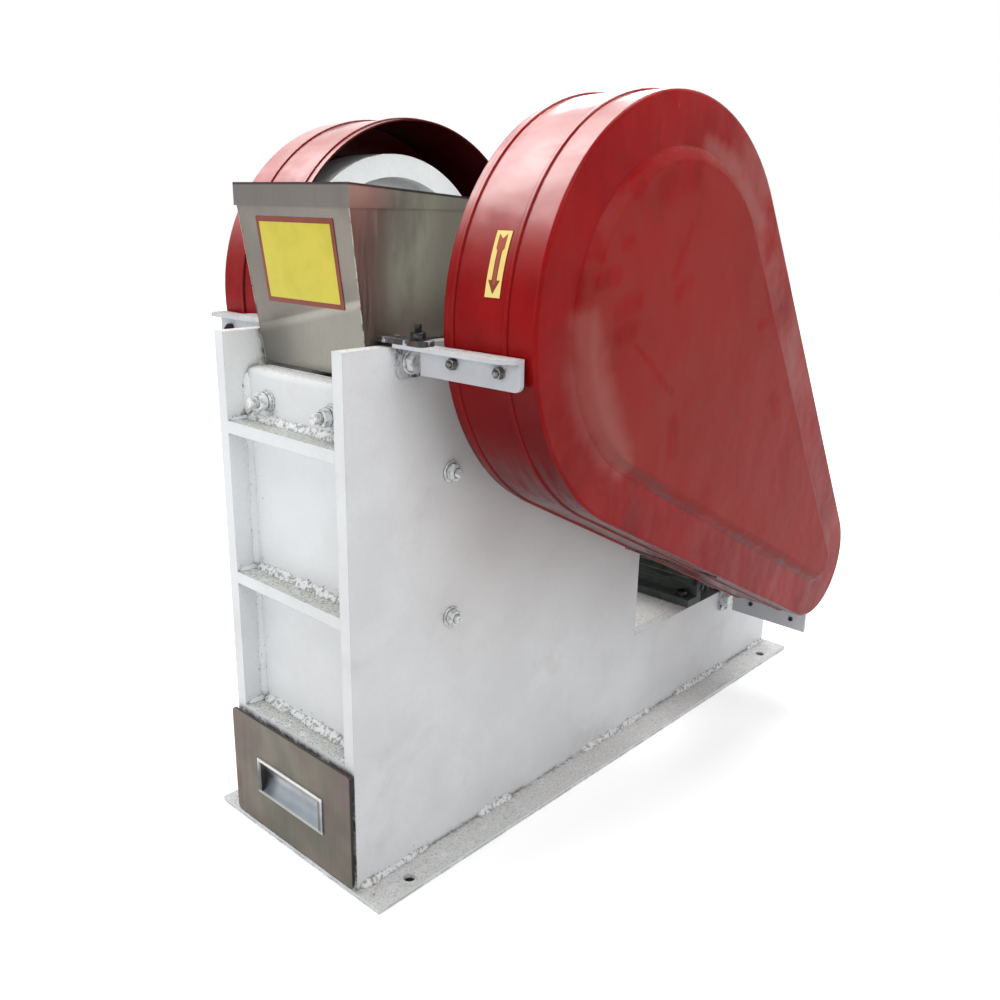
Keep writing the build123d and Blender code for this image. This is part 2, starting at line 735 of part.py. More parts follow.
def belt(x_mid):
    drop = belt_proud - belt_h / 2
    loop = Plane.YZ.offset(x_mid) * teardrop_loop(wheel_r + drop, motor_pulley_r + drop, motor_z)
    slope = (groove_w - groove_low_w) / 2 / groove_d
    wide = groove_w / 2 + slope * belt_proud - belt_fit
    narrow = wide - slope * belt_h
    start = loop.edges()[0]
    outward = start @ 0 - Vector(x_mid, shaft_y, shaft_z)
    section_plane = Plane(start @ 0, x_dir=(1, 0, 0), z_dir=start % 0)
    high = belt_h / 2 if section_plane.y_dir.dot(outward) > 0 else -belt_h / 2
    section = outline([(-wide, high), (wide, high), (narrow, -high), (-narrow, -high)])
    return sweep(section_plane * section, Wire(loop.edges()))


drive_belts = [belt(pulley_mid + groove_pitch * (n - (belt_count - 1) / 2)) for n in range(belt_count)]

# Drawer: tray, front sheet and a pull with a hollow channel let into the front
front_y1 = front_y - front_gap
front_y0 = front_y1 - front_t
pull_z = top_z + pull_up
cut_x, cut_z = pull_w / 2 - pull_rim, pull_h / 2 - pull_rim
drawer_front = box(-front_w / 2, front_w / 2, front_y0, front_y1, top_z + front_low, top_z + front_top)
drawer_front = fillet(drawer_front.edges().filter_by(Axis.Y), front_round)
drawer_front -= box(-cut_x, cut_x, front_y0, front_y1, pull_z - cut_z, pull_z + cut_z)
tray_x = inner_x - tray_side
tray_y1 = front_y1 + tray_len
tray_z0 = top_z + runner_h + seat_fit
drawer_tray = box(-tray_x, tray_x, front_y1, tray_y1, tray_z0, tray_z0 + tray_h)
drawer_tray = offset(drawer_tray, -tray_t, openings=drawer_tray.faces().sort_by(Axis.Z)[-1])
drawer_tray -= box(-cut_x, cut_x, front_y1, front_y1 + tray_t, pull_z - cut_z, pull_z + cut_z)

cup_x, cup_z = cut_x - seat_fit, cut_z - seat_fit
pull_y0 = front_y0 - pull_proud
cup_y1 = pull_y0 + pull_d + pull_back
drawer_pull = box(-pull_w / 2, pull_w / 2, pull_y0, front_y0, pull_z - pull_h / 2, pull_z + pull_h / 2)
drawer_pull = fillet(drawer_pull.faces().sort_by(Axis.Y)[0].edges(), pull_round)
drawer_pull += box(-cup_x, cup_x, front_y0, cup_y1, pull_z - cup_z, pull_z + cup_z)
chord = pull_h / 2 - pull_rim
channel_r = (chord**2 + pull_d**2) / (2 * pull_d)
channel_x = pull_w / 2 - pull_cap
drawer_pull -= bar_x(pull_y0 + pull_d - channel_r, pull_z, channel_r, -channel_x, channel_x)

runner_y1 = front_y + tray_len
right_runner = box(tray_x - runner_w, tray_x, front_y, runner_y1, top_z, top_z + runner_h)
drawer_runners = [right_runner, mirrored(right_runner)]

nodes = {
    "base_plate": base_plate,
    "right_side_plate": right_side_plate,
    "left_side_plate": left_side_plate,
    "front_wall": front_wall,
    "front_ribs": front_ribs,
    "rear_wall": rear_wall,
    "motor_plate": motor_plate,
    "end_plate": end_plate,
    "bearing_pads": bearing_pads,
    "right_bearing_block": right_bearing_block,
    "left_bearing_block": left_bearing_block,
    "fixed_jaw_plate": fixed_jaw_plate,
    "swing_jaw_plate": swing_jaw_plate,
    "swing_jaw": swing_jaw,
    "toggle_block": toggle_block,
    "toggle_plate": toggle_plate,
    "tension_rod": tension_rod,
    "tension_spring": tension_spring,
    "right_cheek_plate": right_cheek_plate,
    "left_cheek_plate": left_cheek_plate,
    "hopper": hopper,
    "hopper_lugs": hopper_lugs,
    "belt_guard": belt_guard,
    "flywheel_guard": flywheel_guard,
    "right_front_bracket": right_front_bracket,
    "left_front_bracket": left_front_bracket,
    "right_low_bracket": right_low_bracket,
    "left_low_bracket": left_low_bracket,
    "bracket_cleats": bracket_cleats,
    "eccentric_shaft": eccentric_shaft,
    "flywheel": flywheel,
    "driven_pulley": driven_pulley,
    "motor_frame": motor_frame,
    "motor_shield": motor_shield,
    "fan_cowl": fan_cowl,
    "cooling_fan": cooling_fan,
    "terminal_box": terminal_box,
    "motor_pulley": motor_pulley,
    "drive_belts": drive_belts,
    "drawer_front": drawer_front,
    "drawer_tray": drawer_tray,
    "drawer_pull": drawer_pull,
    "drawer_runners": drawer_runners,
}
for name, solid in nodes.items():
    export_step(Compound(children=solid) if isinstance(solid, list) else solid, f"parts/{name}.step")
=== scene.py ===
from math import cos, pi, radians, sin

import bpy
import numpy as np
from mathutils import Matrix, Vector


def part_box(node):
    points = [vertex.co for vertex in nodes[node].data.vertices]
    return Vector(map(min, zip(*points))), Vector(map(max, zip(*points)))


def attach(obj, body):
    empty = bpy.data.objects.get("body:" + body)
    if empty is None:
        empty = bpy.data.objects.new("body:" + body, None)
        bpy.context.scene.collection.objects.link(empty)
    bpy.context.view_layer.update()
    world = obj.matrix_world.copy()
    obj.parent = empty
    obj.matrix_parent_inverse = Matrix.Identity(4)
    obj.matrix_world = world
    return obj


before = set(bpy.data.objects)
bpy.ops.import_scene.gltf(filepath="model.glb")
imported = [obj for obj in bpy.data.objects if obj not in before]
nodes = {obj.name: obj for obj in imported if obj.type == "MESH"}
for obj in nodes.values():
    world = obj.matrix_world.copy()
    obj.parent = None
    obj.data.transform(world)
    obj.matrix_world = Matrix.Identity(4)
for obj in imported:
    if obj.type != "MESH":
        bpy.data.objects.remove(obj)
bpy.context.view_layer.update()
MM = 0.001  # the forms below are made in millimetres


def extent(node):
    """A node's lowest and highest corners in mm."""
    return [np.array(corner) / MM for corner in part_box(node)]


# Places that the small pieces take from the frame, in mm
INNER_X, FRONT_Y, BASE_TOP = extent("right_side_plate")[0]
SIDE_X = extent("right_side_plate")[1][0]
WALL_Y, WALL_TOP = extent("front_wall")[0][1], extent("front_wall")[1][2]
REAR_Y, REAR_TOP = extent("rear_wall")[1][1:]
TAIL_TOP = extent("motor_plate")[1][2]
CLEAT_X = extent("bracket_cleats")[1][0]
LUG_TOP = extent("hopper_lugs")[1][2]
HOPPER_LOW_Z = extent("hopper")[0][2]
FOOT_HALF_X, FOOT_HALF_Y = extent("base_plate")[1][:2] * MM
MOTOR_Y, MOTOR_Z = (sum(extent("fan_cowl")) / 2)[1:]
MOTOR_FRONT_X = extent("motor_frame")[1][0]
SHAFT_Y, SHAFT_Z = (sum(extent("flywheel")) / 2)[1:]
GUARD_OPEN_X = extent("belt_guard")[0][0]
GUARD_PANEL_X = extent("belt_guard")[1][0]
GUARD_R = 224.0
PANEL_H = 11.0
RIB_T = 14.0
RIB_TOPS = (158.0, 329.0, 506.5)
HOPPER_LOW = dict(half=88.0, front=-410.0, back=-252.0, z=HOPPER_LOW_Z)
HOPPER_TOP = dict(half=93.0, front=-433.0, back=-245.0, z=734.0)
HOPPER_FALL = 13 / 193  # how far the rim falls for each length backwards
HOPPER_RIM = (extent("hopper")[1][2] + HOPPER_FALL * extent("hopper")[0][1]) * MM


def colour(code):
    """Turns an sRGB hex colour into linear RGBA."""
    parts = [int(code[i:i + 2], 16) / 255 for i in (1, 3, 5)]
    return [c / 12.92 if c <= 0.04045 else ((c + 0.055) / 1.055) ** 2.4 for c in parts] + [1.0]


def add(tree, kind, inputs=(), out=0, **settings):
    """Adds a shader node, sets it, fills or links its inputs, by name or in order, and returns an output."""
    made = tree.nodes.new("ShaderNode" + kind)
    for name, value in settings.items():
        setattr(made, name, value)
    for socket, value in inputs.items() if isinstance(inputs, dict) else enumerate(inputs):
        if isinstance(value, bpy.types.NodeSocket):
            tree.links.new(value, made.inputs[socket])
        else:
            made.inputs[socket].default_value = value
    return made.outputs[out] if made.outputs else None


# A smooth map range takes a row: a value, where it starts and ends, and what it gives there if not 0 and 1.
SMOOTH = {"interpolation_type": "SMOOTHSTEP"}


def finish(name):
    """A new material with its node tree and the place of each point in it."""
    made = bpy.data.materials.new(name)
    made.use_nodes = True
    made.node_tree.nodes.clear()
    return made, made.node_tree, add(made.node_tree, "TexCoord", out="Object")


def patches(tree, place, size, low, high, stretch=(1, 1, 1), detail=5.0):
    """Soft patches about size mm across: 0 where the cloud is under low, 1 where it is over high."""
    drawn = add(tree, "Mapping", {"Vector": place, "Scale": stretch})
    shape = {"Vector": drawn, "Scale": 1000 / size, "Detail": detail, "Roughness": 0.6}
    return add(tree, "MapRange", (add(tree, "TexNoise", shape), low, high), **SMOOTH)


def over(tree, below, code, strength, *masks):
    """Lays a colour over the one below, by strength, where every mask is high.

    A mask may be a row for a smooth map range.
    """
    amount = strength
    for mask in masks:
        if isinstance(mask, tuple):
            mask = add(tree, "MapRange", mask, **SMOOTH)
        amount = add(tree, "Math", {0: mask, 1: amount}, operation="MULTIPLY")
    under = colour(below) if isinstance(below, str) else below
    return add(tree, "Mix", {0: amount, 6: under, 7: colour(code)}, 2, data_type="RGBA")


def grained(tree, place, size, strength, depth, below=None, stretch=(1, 1, 1)):
    """A bumped normal from grain about size mm wide and depth mm deep, and the grain itself."""
    drawn = add(tree, "Mapping", {"Vector": place, "Scale": stretch})
    grain = add(tree, "TexNoise", {"Vector": drawn, "Scale": 1000 / size, "Detail": 3.0})
    shape = {"Height": grain, "Strength": strength, "Distance": depth * MM}
    if below:
        shape["Normal"] = below
    return add(tree, "Bump", shape), grain


def surface(tree, base, rough, normal, **more):
    """Ends a material with its shader; more holds whatever else sets it apart."""
    sockets = {"Base Color": base, "Roughness": rough, "Normal": normal}
    sockets.update({name.replace("_", " "): value for name, value in more.items()})
    add(tree, "OutputMaterial", {"Surface": add(tree, "BsdfPrincipled", sockets)})


def brushed_white_enamel(where, coat, drag, dust, speck, laid):
    # Alkyd enamel brushed over flame-cut and welded plate: a satin white, a little blue, with brush drag,
    # grey hand dirt, dark grime and painted shade at the welds and in the corners, a warm painted shade
    # under the belt guard, chipped edges, and stone dust with rust on what faces up.
    made, t, place = finish("brushed_white_enamel_" + where)
    normal = add(t, "NewGeometry", out="Normal")
    soft_edge = add(t, "Bevel", {"Radius": 1.0 * MM}, samples=3)
    bend = add(t, "VectorMath", {0: soft_edge, 1: normal}, "Value", operation="DOT_PRODUCT")
    upward = add(t, "MapRange", (add(t, "SeparateXYZ", {"Vector": normal}, "Z"), 0.75, 0.9), **SMOOTH)
    air = add(t, "AmbientOcclusion", {"Distance": 11 * MM}, "AO", samples=4)
    corner = add(t, "MapRange", (air, 0.85, 0.55), **SMOOTH)
    crevice = add(t, "MapRange", (air, 0.62, 0.50), **SMOOTH)

    x, y, z = (add(t, "SeparateXYZ", {"Vector": place}, axis) for axis in "XYZ")

    base = over(t, coat[0], coat[1], 1, patches(t, place, 190, 0.35, 0.65))
    base = over(t, base, "#b9b3b0", 0.3, patches(t, place, 75, 0.55, 0.78))
    # A warm painted shade lies on the right plate under the belt guard.
    right_side = add(t, "MapRange", (x, 0.104, 0.109), **SMOOTH)
    base = over(t, base, "#c4bbb6", 0.55, right_side, (z, 0.15, 0.42), (y, -0.42, -0.25))
    base = over(t, base, "#c6c8c9", 0.12, patches(t, place, 3, 0.45, 0.70))
    # Grains of stone dust are under half a millimetre, drawn 2 mm wide so that they show as grit.
    base = over(t, base, dust, laid, upward, patches(t, place, 16, 0.26, 0.50))
    base = over(t, base, speck, 0.7, upward, patches(t, place, 2.2, 0.52, 0.60))
    base = over(t, base, "#7b6358", 0.7, upward, patches(t, place, 6, 0.63, 0.69))
    base = over(t, base, "#5e5a57", 0.8, corner, patches(t, place, 3, 0.57, 0.62))
    # Dark grime with painted shade at the toes of welds on what faces up, where ambient occlusion finds a
    # corner
    base = over(t, base, "#413e3c", 0.85, upward, corner, patches(t, place, 7, 0.43, 0.56))
    # Painted shade in tight corners and crevices, broken into patches
    base = over(t, base, "#454140", 0.8, crevice, patches(t, place, 24, 0.42, 0.56))
    base = over(t, base, "#67615d", 0.8, (bend, 0.97, 0.80), patches(t, place, 5, 0.60, 0.66))

    # Brush hairs are far finer than a pixel, so the drag is drawn 5 mm wide.
    brushed = grained(t, place, 5, 0.25, 0.5, soft_edge, drag)[0]
    rough = add(t, "MapRange", (upward, 0, 1, 0.42, 0.8), **SMOOTH)
    surface(t, base, rough, brushed, IOR=1.5, Specular_IOR_Level=0.4)
    return made


# Strokes on the belt guard's face: start and end (y, z) and half width in mm. Fingers wiped dust off along
# the first ones and dust lies thick along the others, down the slope of the pressed panel.
WIPED = (
    ((-300, 674), (-273, 679), 8), ((-268, 645), (-240, 652), 9), ((-265, 622), (-244, 628), 9),
    ((-263, 708), (-254, 708), 6), ((-287, 590), (-278, 592), 7), ((-299, 713), (-296, 695), 5),
    ((-247, 752), (-238, 772), 8), ((-238, 772), (-203, 786), 8), ((-203, 786), (-140, 787), 6),
    ((-197, 759), (-158, 771), 15), ((-177, 674), (-151, 720), 5), ((-165, 656), (-150, 668), 9),
    ((15, 662), (40, 622), 7), ((8, 610), (46, 619), 5),
    ((-237, 611), (-167, 554), 3), ((-160, 520), (-158, 488), 9), ((60, 520), (72, 500), 9),
)
DUSTED = (
    ((-312, 634), (-306, 590), 13), ((-306, 590), (-284, 545), 20), ((-284, 545), (-256, 505), 16),
    ((-256, 505), (-240, 484), 9), ((-110, 800), (-50, 778), 9), ((-40, 765), (10, 725), 10),
)


def drawn_along(tree, place, strokes):
    """1 along strokes in the YZ plane, 0 away from them all."""
    mask = None
    for start, end, wide in strokes:
        first = np.array((0, *start)) * MM
        run = np.array((0, *end)) * MM - first
        moved = add(tree, "VectorMath", {0: place, 1: first}, operation="SUBTRACT")
        share = add(tree, "VectorMath", {0: moved, 1: run / (run @ run)}, "Value", operation="DOT_PRODUCT")
        share = add(tree, "Clamp", {"Value": share})
        foot = add(tree, "VectorMath", {0: run, "Scale": share}, operation="SCALE")
        away = add(tree, "VectorMath", {0: moved, 1: foot}, "Value", operation="DISTANCE")
        one = add(tree, "MapRange", (away, 2.0 * wide * MM, 0.2 * wide * MM), **SMOOTH)
        mask = add(tree, "Math", {0: mask, 1: one}, operation="MAXIMUM") if mask else one
    return mask


def sprayed_red_enamel():
    # Gloss enamel sprayed on thin pressed sheet: a deep red with a wavy, dented mirror and fine orange peel.
    # Stone dust dulls the raised panel, where fingers wiped it. The rims mirror the sky, and their tops are
    # paled by dust and painted sky light; painted shade darkens the guards' insides, undersides and edges.
    made, t, place = finish("sprayed_red_enamel")
    normal = add(t, "NewGeometry", out="Normal")
    soft_edge = add(t, "Bevel", {"Radius": 2.5 * MM}, samples=4)
    bend = add(t, "VectorMath", {0: soft_edge, 1: normal}, "Value", operation="DOT_PRODUCT")
    side, back, up = (add(t, "SeparateXYZ", {"Vector": normal}, axis) for axis in "XYZ")
    wave = add(t, "TexNoise", {"Vector": place, "Scale": 1000 / 22, "Detail": 3.0}, "Color")
    shaken = add(t, "VectorMath", {0: wave, 1: (0.012,) * 3, 2: place}, operation="MULTIPLY_ADD")
    level = add(t, "VectorMath", {0: shaken, 1: (0, 1, 1), 2: (0, -0.006, -0.006)}, operation="MULTIPLY_ADD")
    x, y, z = (add(t, "SeparateXYZ", {"Vector": shaken}, axis) for axis in "XYZ")

    face_x = (GUARD_PANEL_X - PANEL_H) * MM
    outside = add(t, "MapRange", (side, 0.3, 0.8), **SMOOTH)
    rim = add(t, "MapRange", (side, 0.35, 0.05), **SMOOTH)
    face = add(t, "MapRange", (x, face_x - 0.004, face_x + 0.004), **SMOOTH)
    panel = add(t, "MapRange", (x, face_x + 0.006, face_x + 0.014), **SMOOTH)
    margin = add(t, "MapRange", (panel, 0, 1, 1, 0), **SMOOTH)
    clean = add(t, "MapRange", (drawn_along(t, level, WIPED), 0, 1, 1, 0.3), **SMOOTH)
    cloud = patches(t, place, 110, 0.30, 0.62, stretch=(1, 1, 0.7))

    base = over(t, "#951213", "#840c0e", 1, patches(t, place, 120, 0.35, 0.65))
    base = over(t, base, "#6c090c", 0.5, patches(t, place, 38, 0.52, 0.72, stretch=(1, 1, 0.5)))
    base = over(t, base, "#8b322c", 0.7, outside, panel, clean, (cloud, 0, 1, 0.7, 1))
    high = [(y, -0.17, 0.02), (z, 0.36, 0.60)]
    base = over(t, base, "#a25d58", 0.75, outside, face, margin, clean, cloud, *high)
    base = over(t, base, "#9f605a", 0.6, outside, drawn_along(t, level, DUSTED))
    base = over(t, base, "#8d332f", 0.3, patches(t, place, 45, 0.50, 0.72, stretch=(1, 1, 0.3)))
    # Painted shade on the face where its slopes turn backwards
    base = over(t, base, "#661a18", 0.6, outside, face, (back, 0.12, 0.35))
    sky_sheen_and_dust = patches(t, place, 70, 0.26, 0.68, stretch=(0.55, 1, 1), detail=3.0)
    # Painted shade on the rims where they face down
    base = over(t, base, "#560a0d", 0.7, rim, (up, 0.0, -0.45))
    # Painted sky light on the rims where they face up
    base = over(t, base, "#c07b78", 0.55, rim, (up, 0.18, 0.75))
    # Pale dust with a painted reflection of the sky, in patches on the rims' upper slopes
    slope = [(up, 0.30, 0.75), (up, 1.0, 0.7, 0.25, 1)]
    base = over(t, base, "#e4bdbb", 0.65, rim, sky_sheen_and_dust, *slope)
    # Painted shade in grey streaks on the downward faces low on the guards
    streaks = patches(t, place, 9, 0.35, 0.62, stretch=(1, 0.08, 0.08))
    base = over(t, base, "#5c4547", 0.85, (up, -0.30, -0.70), (z, 0.55, 0.45), streaks)
    # Inside the guards the coat is painted near black: painted shade.
    base = over(t, base, "#33070a", 0.8, (up, -0.05, -0.35), (z, 0.60, 0.68))
    base = over(t, base, "#33070a", 0.8, outside, (x, -0.05, -0.10))
    # Painted shade along the edges and hems of the sheet
    base = over(t, base, "#3d080b", 0.8, (bend, 0.97, 0.80))
    base = over(t, base, "#4f2a27", 1, patches(t, place, 4, 0.735, 0.755))

    dented = grained(t, place, 110, 0.6, 8, soft_edge)[0]
    # Orange peel is under a millimetre, drawn at 3 mm so that it breaks the reflections up.
    bump = grained(t, place, 3, 0.06, 0.4, dented)[0]
    rough = add(t, "MapRange", (panel, 0, 1, 0.22, 0.45), **SMOOTH)
    gloss = add(t, "Math", {0: rim, 1: add(t, "MapRange", (up, 0.15, 0.6), **SMOOTH)}, operation="MULTIPLY")
    coat = dict(Coat_Weight=gloss, Coat_Roughness=0.2, Coat_Normal=bump)
    surface(t, base, rough, bump, IOR=1.5, Specular_IOR_Level=0.07, **coat)
    return made


def roll_grain(t, place, base, strength):
    """Ends a rolled sheet's material with its grain, its ripple and its shader."""
    waved = grained(t, place, 80, 0.35, 4)[0]
    # Rolling grain is a few hundredths of a millimetre, drawn 1.6 mm wide to show.
    bump, grain = grained(t, place, 1.6, strength, 0.2, waved, (1, 1, 0.012))
    rough = add(t, "MapRange", (grain, 0.3, 0.7, 0.28, 0.44), **SMOOTH)
    surface(t, base, rough, bump, Metallic=0.9)


def hopper_stainless():
    # Cold-rolled stainless sheet with a vertical grain: a warm grey mirror gone soft. The front has a
    # painted highlight where its corner was creased, and a paler painted reflection below it. Welding heat
    # left mauve along the sides; their paler tone, green grey in the middle, is painted reflection.
    made, t, place = finish("rolled_stainless_hopper")
    across = add(t, "SeparateXYZ", {"Vector": add(t, "NewGeometry", out="Normal")}, "X")
    x, y, z = (add(t, "SeparateXYZ", {"Vector": place}, axis) for axis in "XYZ")
    flank = add(t, "MapRange", (add(t, "Math", {0: across}, operation="ABSOLUTE"), 0.4, 0.8), **SMOOTH)
    front = add(t, "MapRange", (flank, 0, 1, 1, 0), **SMOOTH)
    streaks = patches(t, place, 40, 0.35, 0.62, stretch=(1, 1, 0.35))

    base = over(t, "#7c7770", "#6c665f", 1, patches(t, place, 95, 0.32, 0.66, detail=2.0))
    base = over(t, base, "#646a63", 0.6, patches(t, place, 120, 0.48, 0.70, stretch=(1, 1, 0.7), detail=2.0))
    # A painted highlight along the crease in the front, with a paler painted reflection below it
    crease = add(t, "Math", {0: x, 1: -0.22, 2: z}, operation="MULTIPLY_ADD")
    base = over(t, base, "#85837b", 0.8, front, (crease, 0.628, 0.622))
    base = over(t, base, "#a9a79d", 0.5, front, (crease, 0.618, 0.626), (crease, 0.631, 0.627))
    base = over(t, base, "#736d6b", 0.8, front, (z, 0.731, 0.735))
    # Painted reflection: the sides' own paler tone, and a pale green grey in their middle
    base = over(t, base, "#9d9a8e", 1, flank)
    middle = [(y, -0.405, -0.370), (y, -0.300, -0.350)]
    base = over(t, base, "#c4c3b4", 0.7, flank, streaks, *middle)
    base = over(t, base, "#9c827b", 0.9, flank, (y, -0.372, -0.412))
    base = over(t, base, "#85766c", 0.7, flank, (z, 0.660, 0.605))
    # A dark band along the top of the rim is painted shade, standing in for the hopper's dark inside.
    rim = add(t, "Math", {0: y, 1: HOPPER_FALL, 2: z}, operation="MULTIPLY_ADD")
    base = over(t, base, "#2b2726", 0.85, (rim, HOPPER_RIM - 0.003, HOPPER_RIM - 0.0015))
    roll_grain(t, place, base, 0.12)
    return made


def drawer_stainless():
    # Cold-rolled stainless sheet, darker and browner than the hopper's, dull with handling: green grey and
    # mauve clouds, rust that ran down at the left, and painted shade along the right and top edges.
    made, t, place = finish("rolled_stainless_drawer")
    x, z = (add(t, "SeparateXYZ", {"Vector": place}, axis) for axis in "XZ")
    base = over(t, "#726c62", "#5f574f", 1, patches(t, place, 90, 0.32, 0.66, detail=2.0))
    base = over(t, base, "#5d5e52", 0.8, patches(t, place, 70, 0.46, 0.70, detail=2.0))
    base = over(t, base, "#6e5f5d", 0.6, patches(t, place, 60, 0.52, 0.70, detail=2.0))
    runs = patches(t, place, 14, 0.50, 0.66, stretch=(1, 1, 0.22))
    base = over(t, base, "#6a4a38", 0.8, runs, (x, -0.084, -0.102))
    # Painted shade along the right and top edges
    base = over(t, base, "#1d1a1b", 0.8, (x, 0.1100, 0.1112))
    base = over(t, base, "#3a3533", 0.5, (z, 0.1503, 0.1514))
    roll_grain(t, place, base, 0.05)
    return made


def satin_aluminium():
    # Drawn aluminium, satin etched: pale with long fine draw lines, painted highlights on its lips, painted
    # shade in the channel's lower half and at its lower left end, and darker bands at both ends.
    made, t, place = finish("satin_aluminium")
    x, z = (add(t, "SeparateXYZ", {"Vector": place}, axis) for axis in "XZ")
    base = over(t, "#b9bbbd", "#a3a6a9", 1, patches(t, place, 25, 0.4, 0.65))
    # Painted shade in the channel's lower half, darkest at its lower left end
    base = over(t, base, "#7f8890", 0.8, (z, 0.086, 0.076))
    base = over(t, base, "#4b5058", 0.85, (x, -0.026, -0.046), (z, 0.095, 0.084))
    middle = add(t, "Math", {0: x}, operation="ABSOLUTE")
    base = over(t, base, "#5b5855", 0.8, (middle, 0.0535, 0.0550), (middle, 0.0600, 0.0585))
    # Painted highlights on the top and bottom lips
    base = over(t, base, "#dcdbd7", 0.7, (z, 0.0985, 0.1000))
    base = over(t, base, "#b4b4b1", 0.8, (z, 0.0615, 0.0600))
    # Draw lines are a few hundredths of a millimetre, drawn 2 mm wide to show.
    bump, lines = grained(t, place, 2, 0.15, 0.2, None, (0.02, 1, 1))
    rough = add(t, "MapRange", (lines, 0.3, 0.7, 0.28, 0.44), **SMOOTH)
    surface(t, base, rough, bump, Metallic=0.9)
    return made


def cast_iron_enamel(name, light, dark):
    # Enamel over sand-cast iron: the mould's skin shows through a satin grey-green coat, with dust on top.
    made, t, place = finish(name)
    base = over(t, light, dark, 1, patches(t, place, 40, 0.35, 0.65))
    up = add(t, "SeparateXYZ", {"Vector": add(t, "NewGeometry", out="Normal")}, "Z")
    dust = patches(t, place, 18, 0.35, 0.6)
    base = over(t, base, "#8b8780", 0.4, dust, (up, 0.3, 1.0))
    # Moulding sand is about 0.3 mm, drawn at 2.5 mm to show.
    bump = grained(t, place, 2.5, 0.3, 0.5)[0]
    rough = add(t, "MapRange", (dust, 0, 1, 0.42, 0.7), **SMOOTH)
    surface(t, base, rough, bump, IOR=1.5)
    return made


def cast_manganese_steel():
    # Rough sand-cast manganese steel: a brown-grey crust, rubbed bright where stone slides over it.
    made, t, place = finish("cast_manganese_steel")
    base = over(t, "#6a6560", "#574a40", 1, patches(t, place, 22, 0.4, 0.62))
    rubbed = patches(t, place, 30, 0.52, 0.64, stretch=(1, 1, 0.3))
    base = over(t, base, "#8c8985", 1, rubbed)
    bump = grained(t, place, 3, 0.45, 0.8)[0]
    rough = add(t, "MapRange", (rubbed, 0, 1, 0.68, 0.36), **SMOOTH)
    surface(t, base, rough, bump, Metallic=0.7)
    return made


def turned_steel():
    # Carbon steel turned on a lathe: fine rings round the axis, a thin oil film and grey bloom.
    made, t, place = finish("turned_steel")
    base = over(t, "#a5a29c", "#7d7871", 1, patches(t, place, 30, 0.4, 0.65))
    # Feed marks are a fifth of a millimetre apart, drawn at 1.5 mm.
    bump, rings = grained(t, place, 1.5, 0.2, 0.2, None, (1, 0.03, 0.03))
    rough = add(t, "MapRange", (rings, 0.3, 0.7, 0.25, 0.42), **SMOOTH)
    surface(t, base, rough, bump, Metallic=1.0)
    return made


def hot_rolled_steel(name, paint_low, paint_high):
    # Hot-rolled bar as it left the torch: blue-black mill scale, greasy, with brown rust and smeared white
    # paint, and painted all over on the left side of the machine.
    made, t, place = finish(name)
    x = add(t, "SeparateXYZ", {"Vector": place}, "X")
    base = over(t, "#46454a", "#2b2826", 1, patches(t, place, 12, 0.4, 0.6))
    rust = patches(t, place, 7, 0.56, 0.66)
    base = over(t, base, "#5d4031", 1, rust)
    base = over(t, base, "#c6c6c9", 1, patches(t, place, 11, paint_low, paint_high, stretch=(1, 1, 0.6)))
    base = over(t, base, "#cdcfd0", 0.9, (x, 0.01, -0.01))
    bump = grained(t, place, 4, 0.4, 0.7)[0]
    rough = add(t, "MapRange", (rust, 0, 1, 0.45, 0.8), **SMOOTH)
    surface(t, base, rough, bump, Metallic=0.2)
    return made


def bolt_steel(name, bare, worn, metal):
    # Bolts and nuts with a thin coat, gone dull, with dark oil and painted shade in the corners and under
    # the heads.
    made, t, place = finish(name)
    base = over(t, bare, worn, 1, patches(t, place, 5, 0.42, 0.65))
    # Dark oil and painted shade in the corners, masked by ambient occlusion
    air = add(t, "AmbientOcclusion", {"Distance": 3 * MM}, "AO", samples=6)
    base = over(t, base, "#1f1c1b", 0.9, (air, 0.78, 0.35))
    bump, nicks = grained(t, place, 1.5, 0.15, 0.2)
    rough = add(t, "MapRange", (nicks, 0.2, 0.8, 0.3, 0.5), **SMOOTH)
    surface(t, base, rough, bump, Metallic=metal)
    return made


def painted_weld(name, slag_low, slag_high):
    # Arc weld left as laid and painted over: lumpy white with grey slag and rust showing in the pits.
    made, t, place = finish(name)
    slag = patches(t, place, 5, slag_low, slag_high)
    base = over(t, "#e6e8e9", "#8f8c88", 0.8, slag)
    # Dark grime with painted shade at the weld's toes, masked by ambient occlusion and broken into patches
    air = add(t, "AmbientOcclusion", {"Distance": 5 * MM}, "AO", samples=4)
    toe = add(t, "MapRange", (air, 0.80, 0.55), **SMOOTH)
    base = over(t, base, "#3f3b38", 0.8, toe, patches(t, place, 6, slag_low - 0.06, slag_high - 0.04))
    bump = grained(t, place, 3, 0.4, 0.7)[0]
    rough = add(t, "MapRange", (slag, 0, 1, 0.5, 0.75), **SMOOTH)
    surface(t, base, rough, bump, IOR=1.5)
    return made


def bright_weld():
    # Stainless weld run, not ground: silvery beads with straw and blue heat tint beside them.
    made, t, place = finish("bright_weld")
    tint = patches(t, place, 9, 0.45, 0.65)
    base = over(t, "#98938a", "#5f584f", 1, tint)
    bump = grained(t, place, 2, 0.3, 0.5)[0]
    rough = add(t, "MapRange", (tint, 0, 1, 0.3, 0.5), **SMOOTH)
    surface(t, base, rough, bump, Metallic=0.9)
    return made


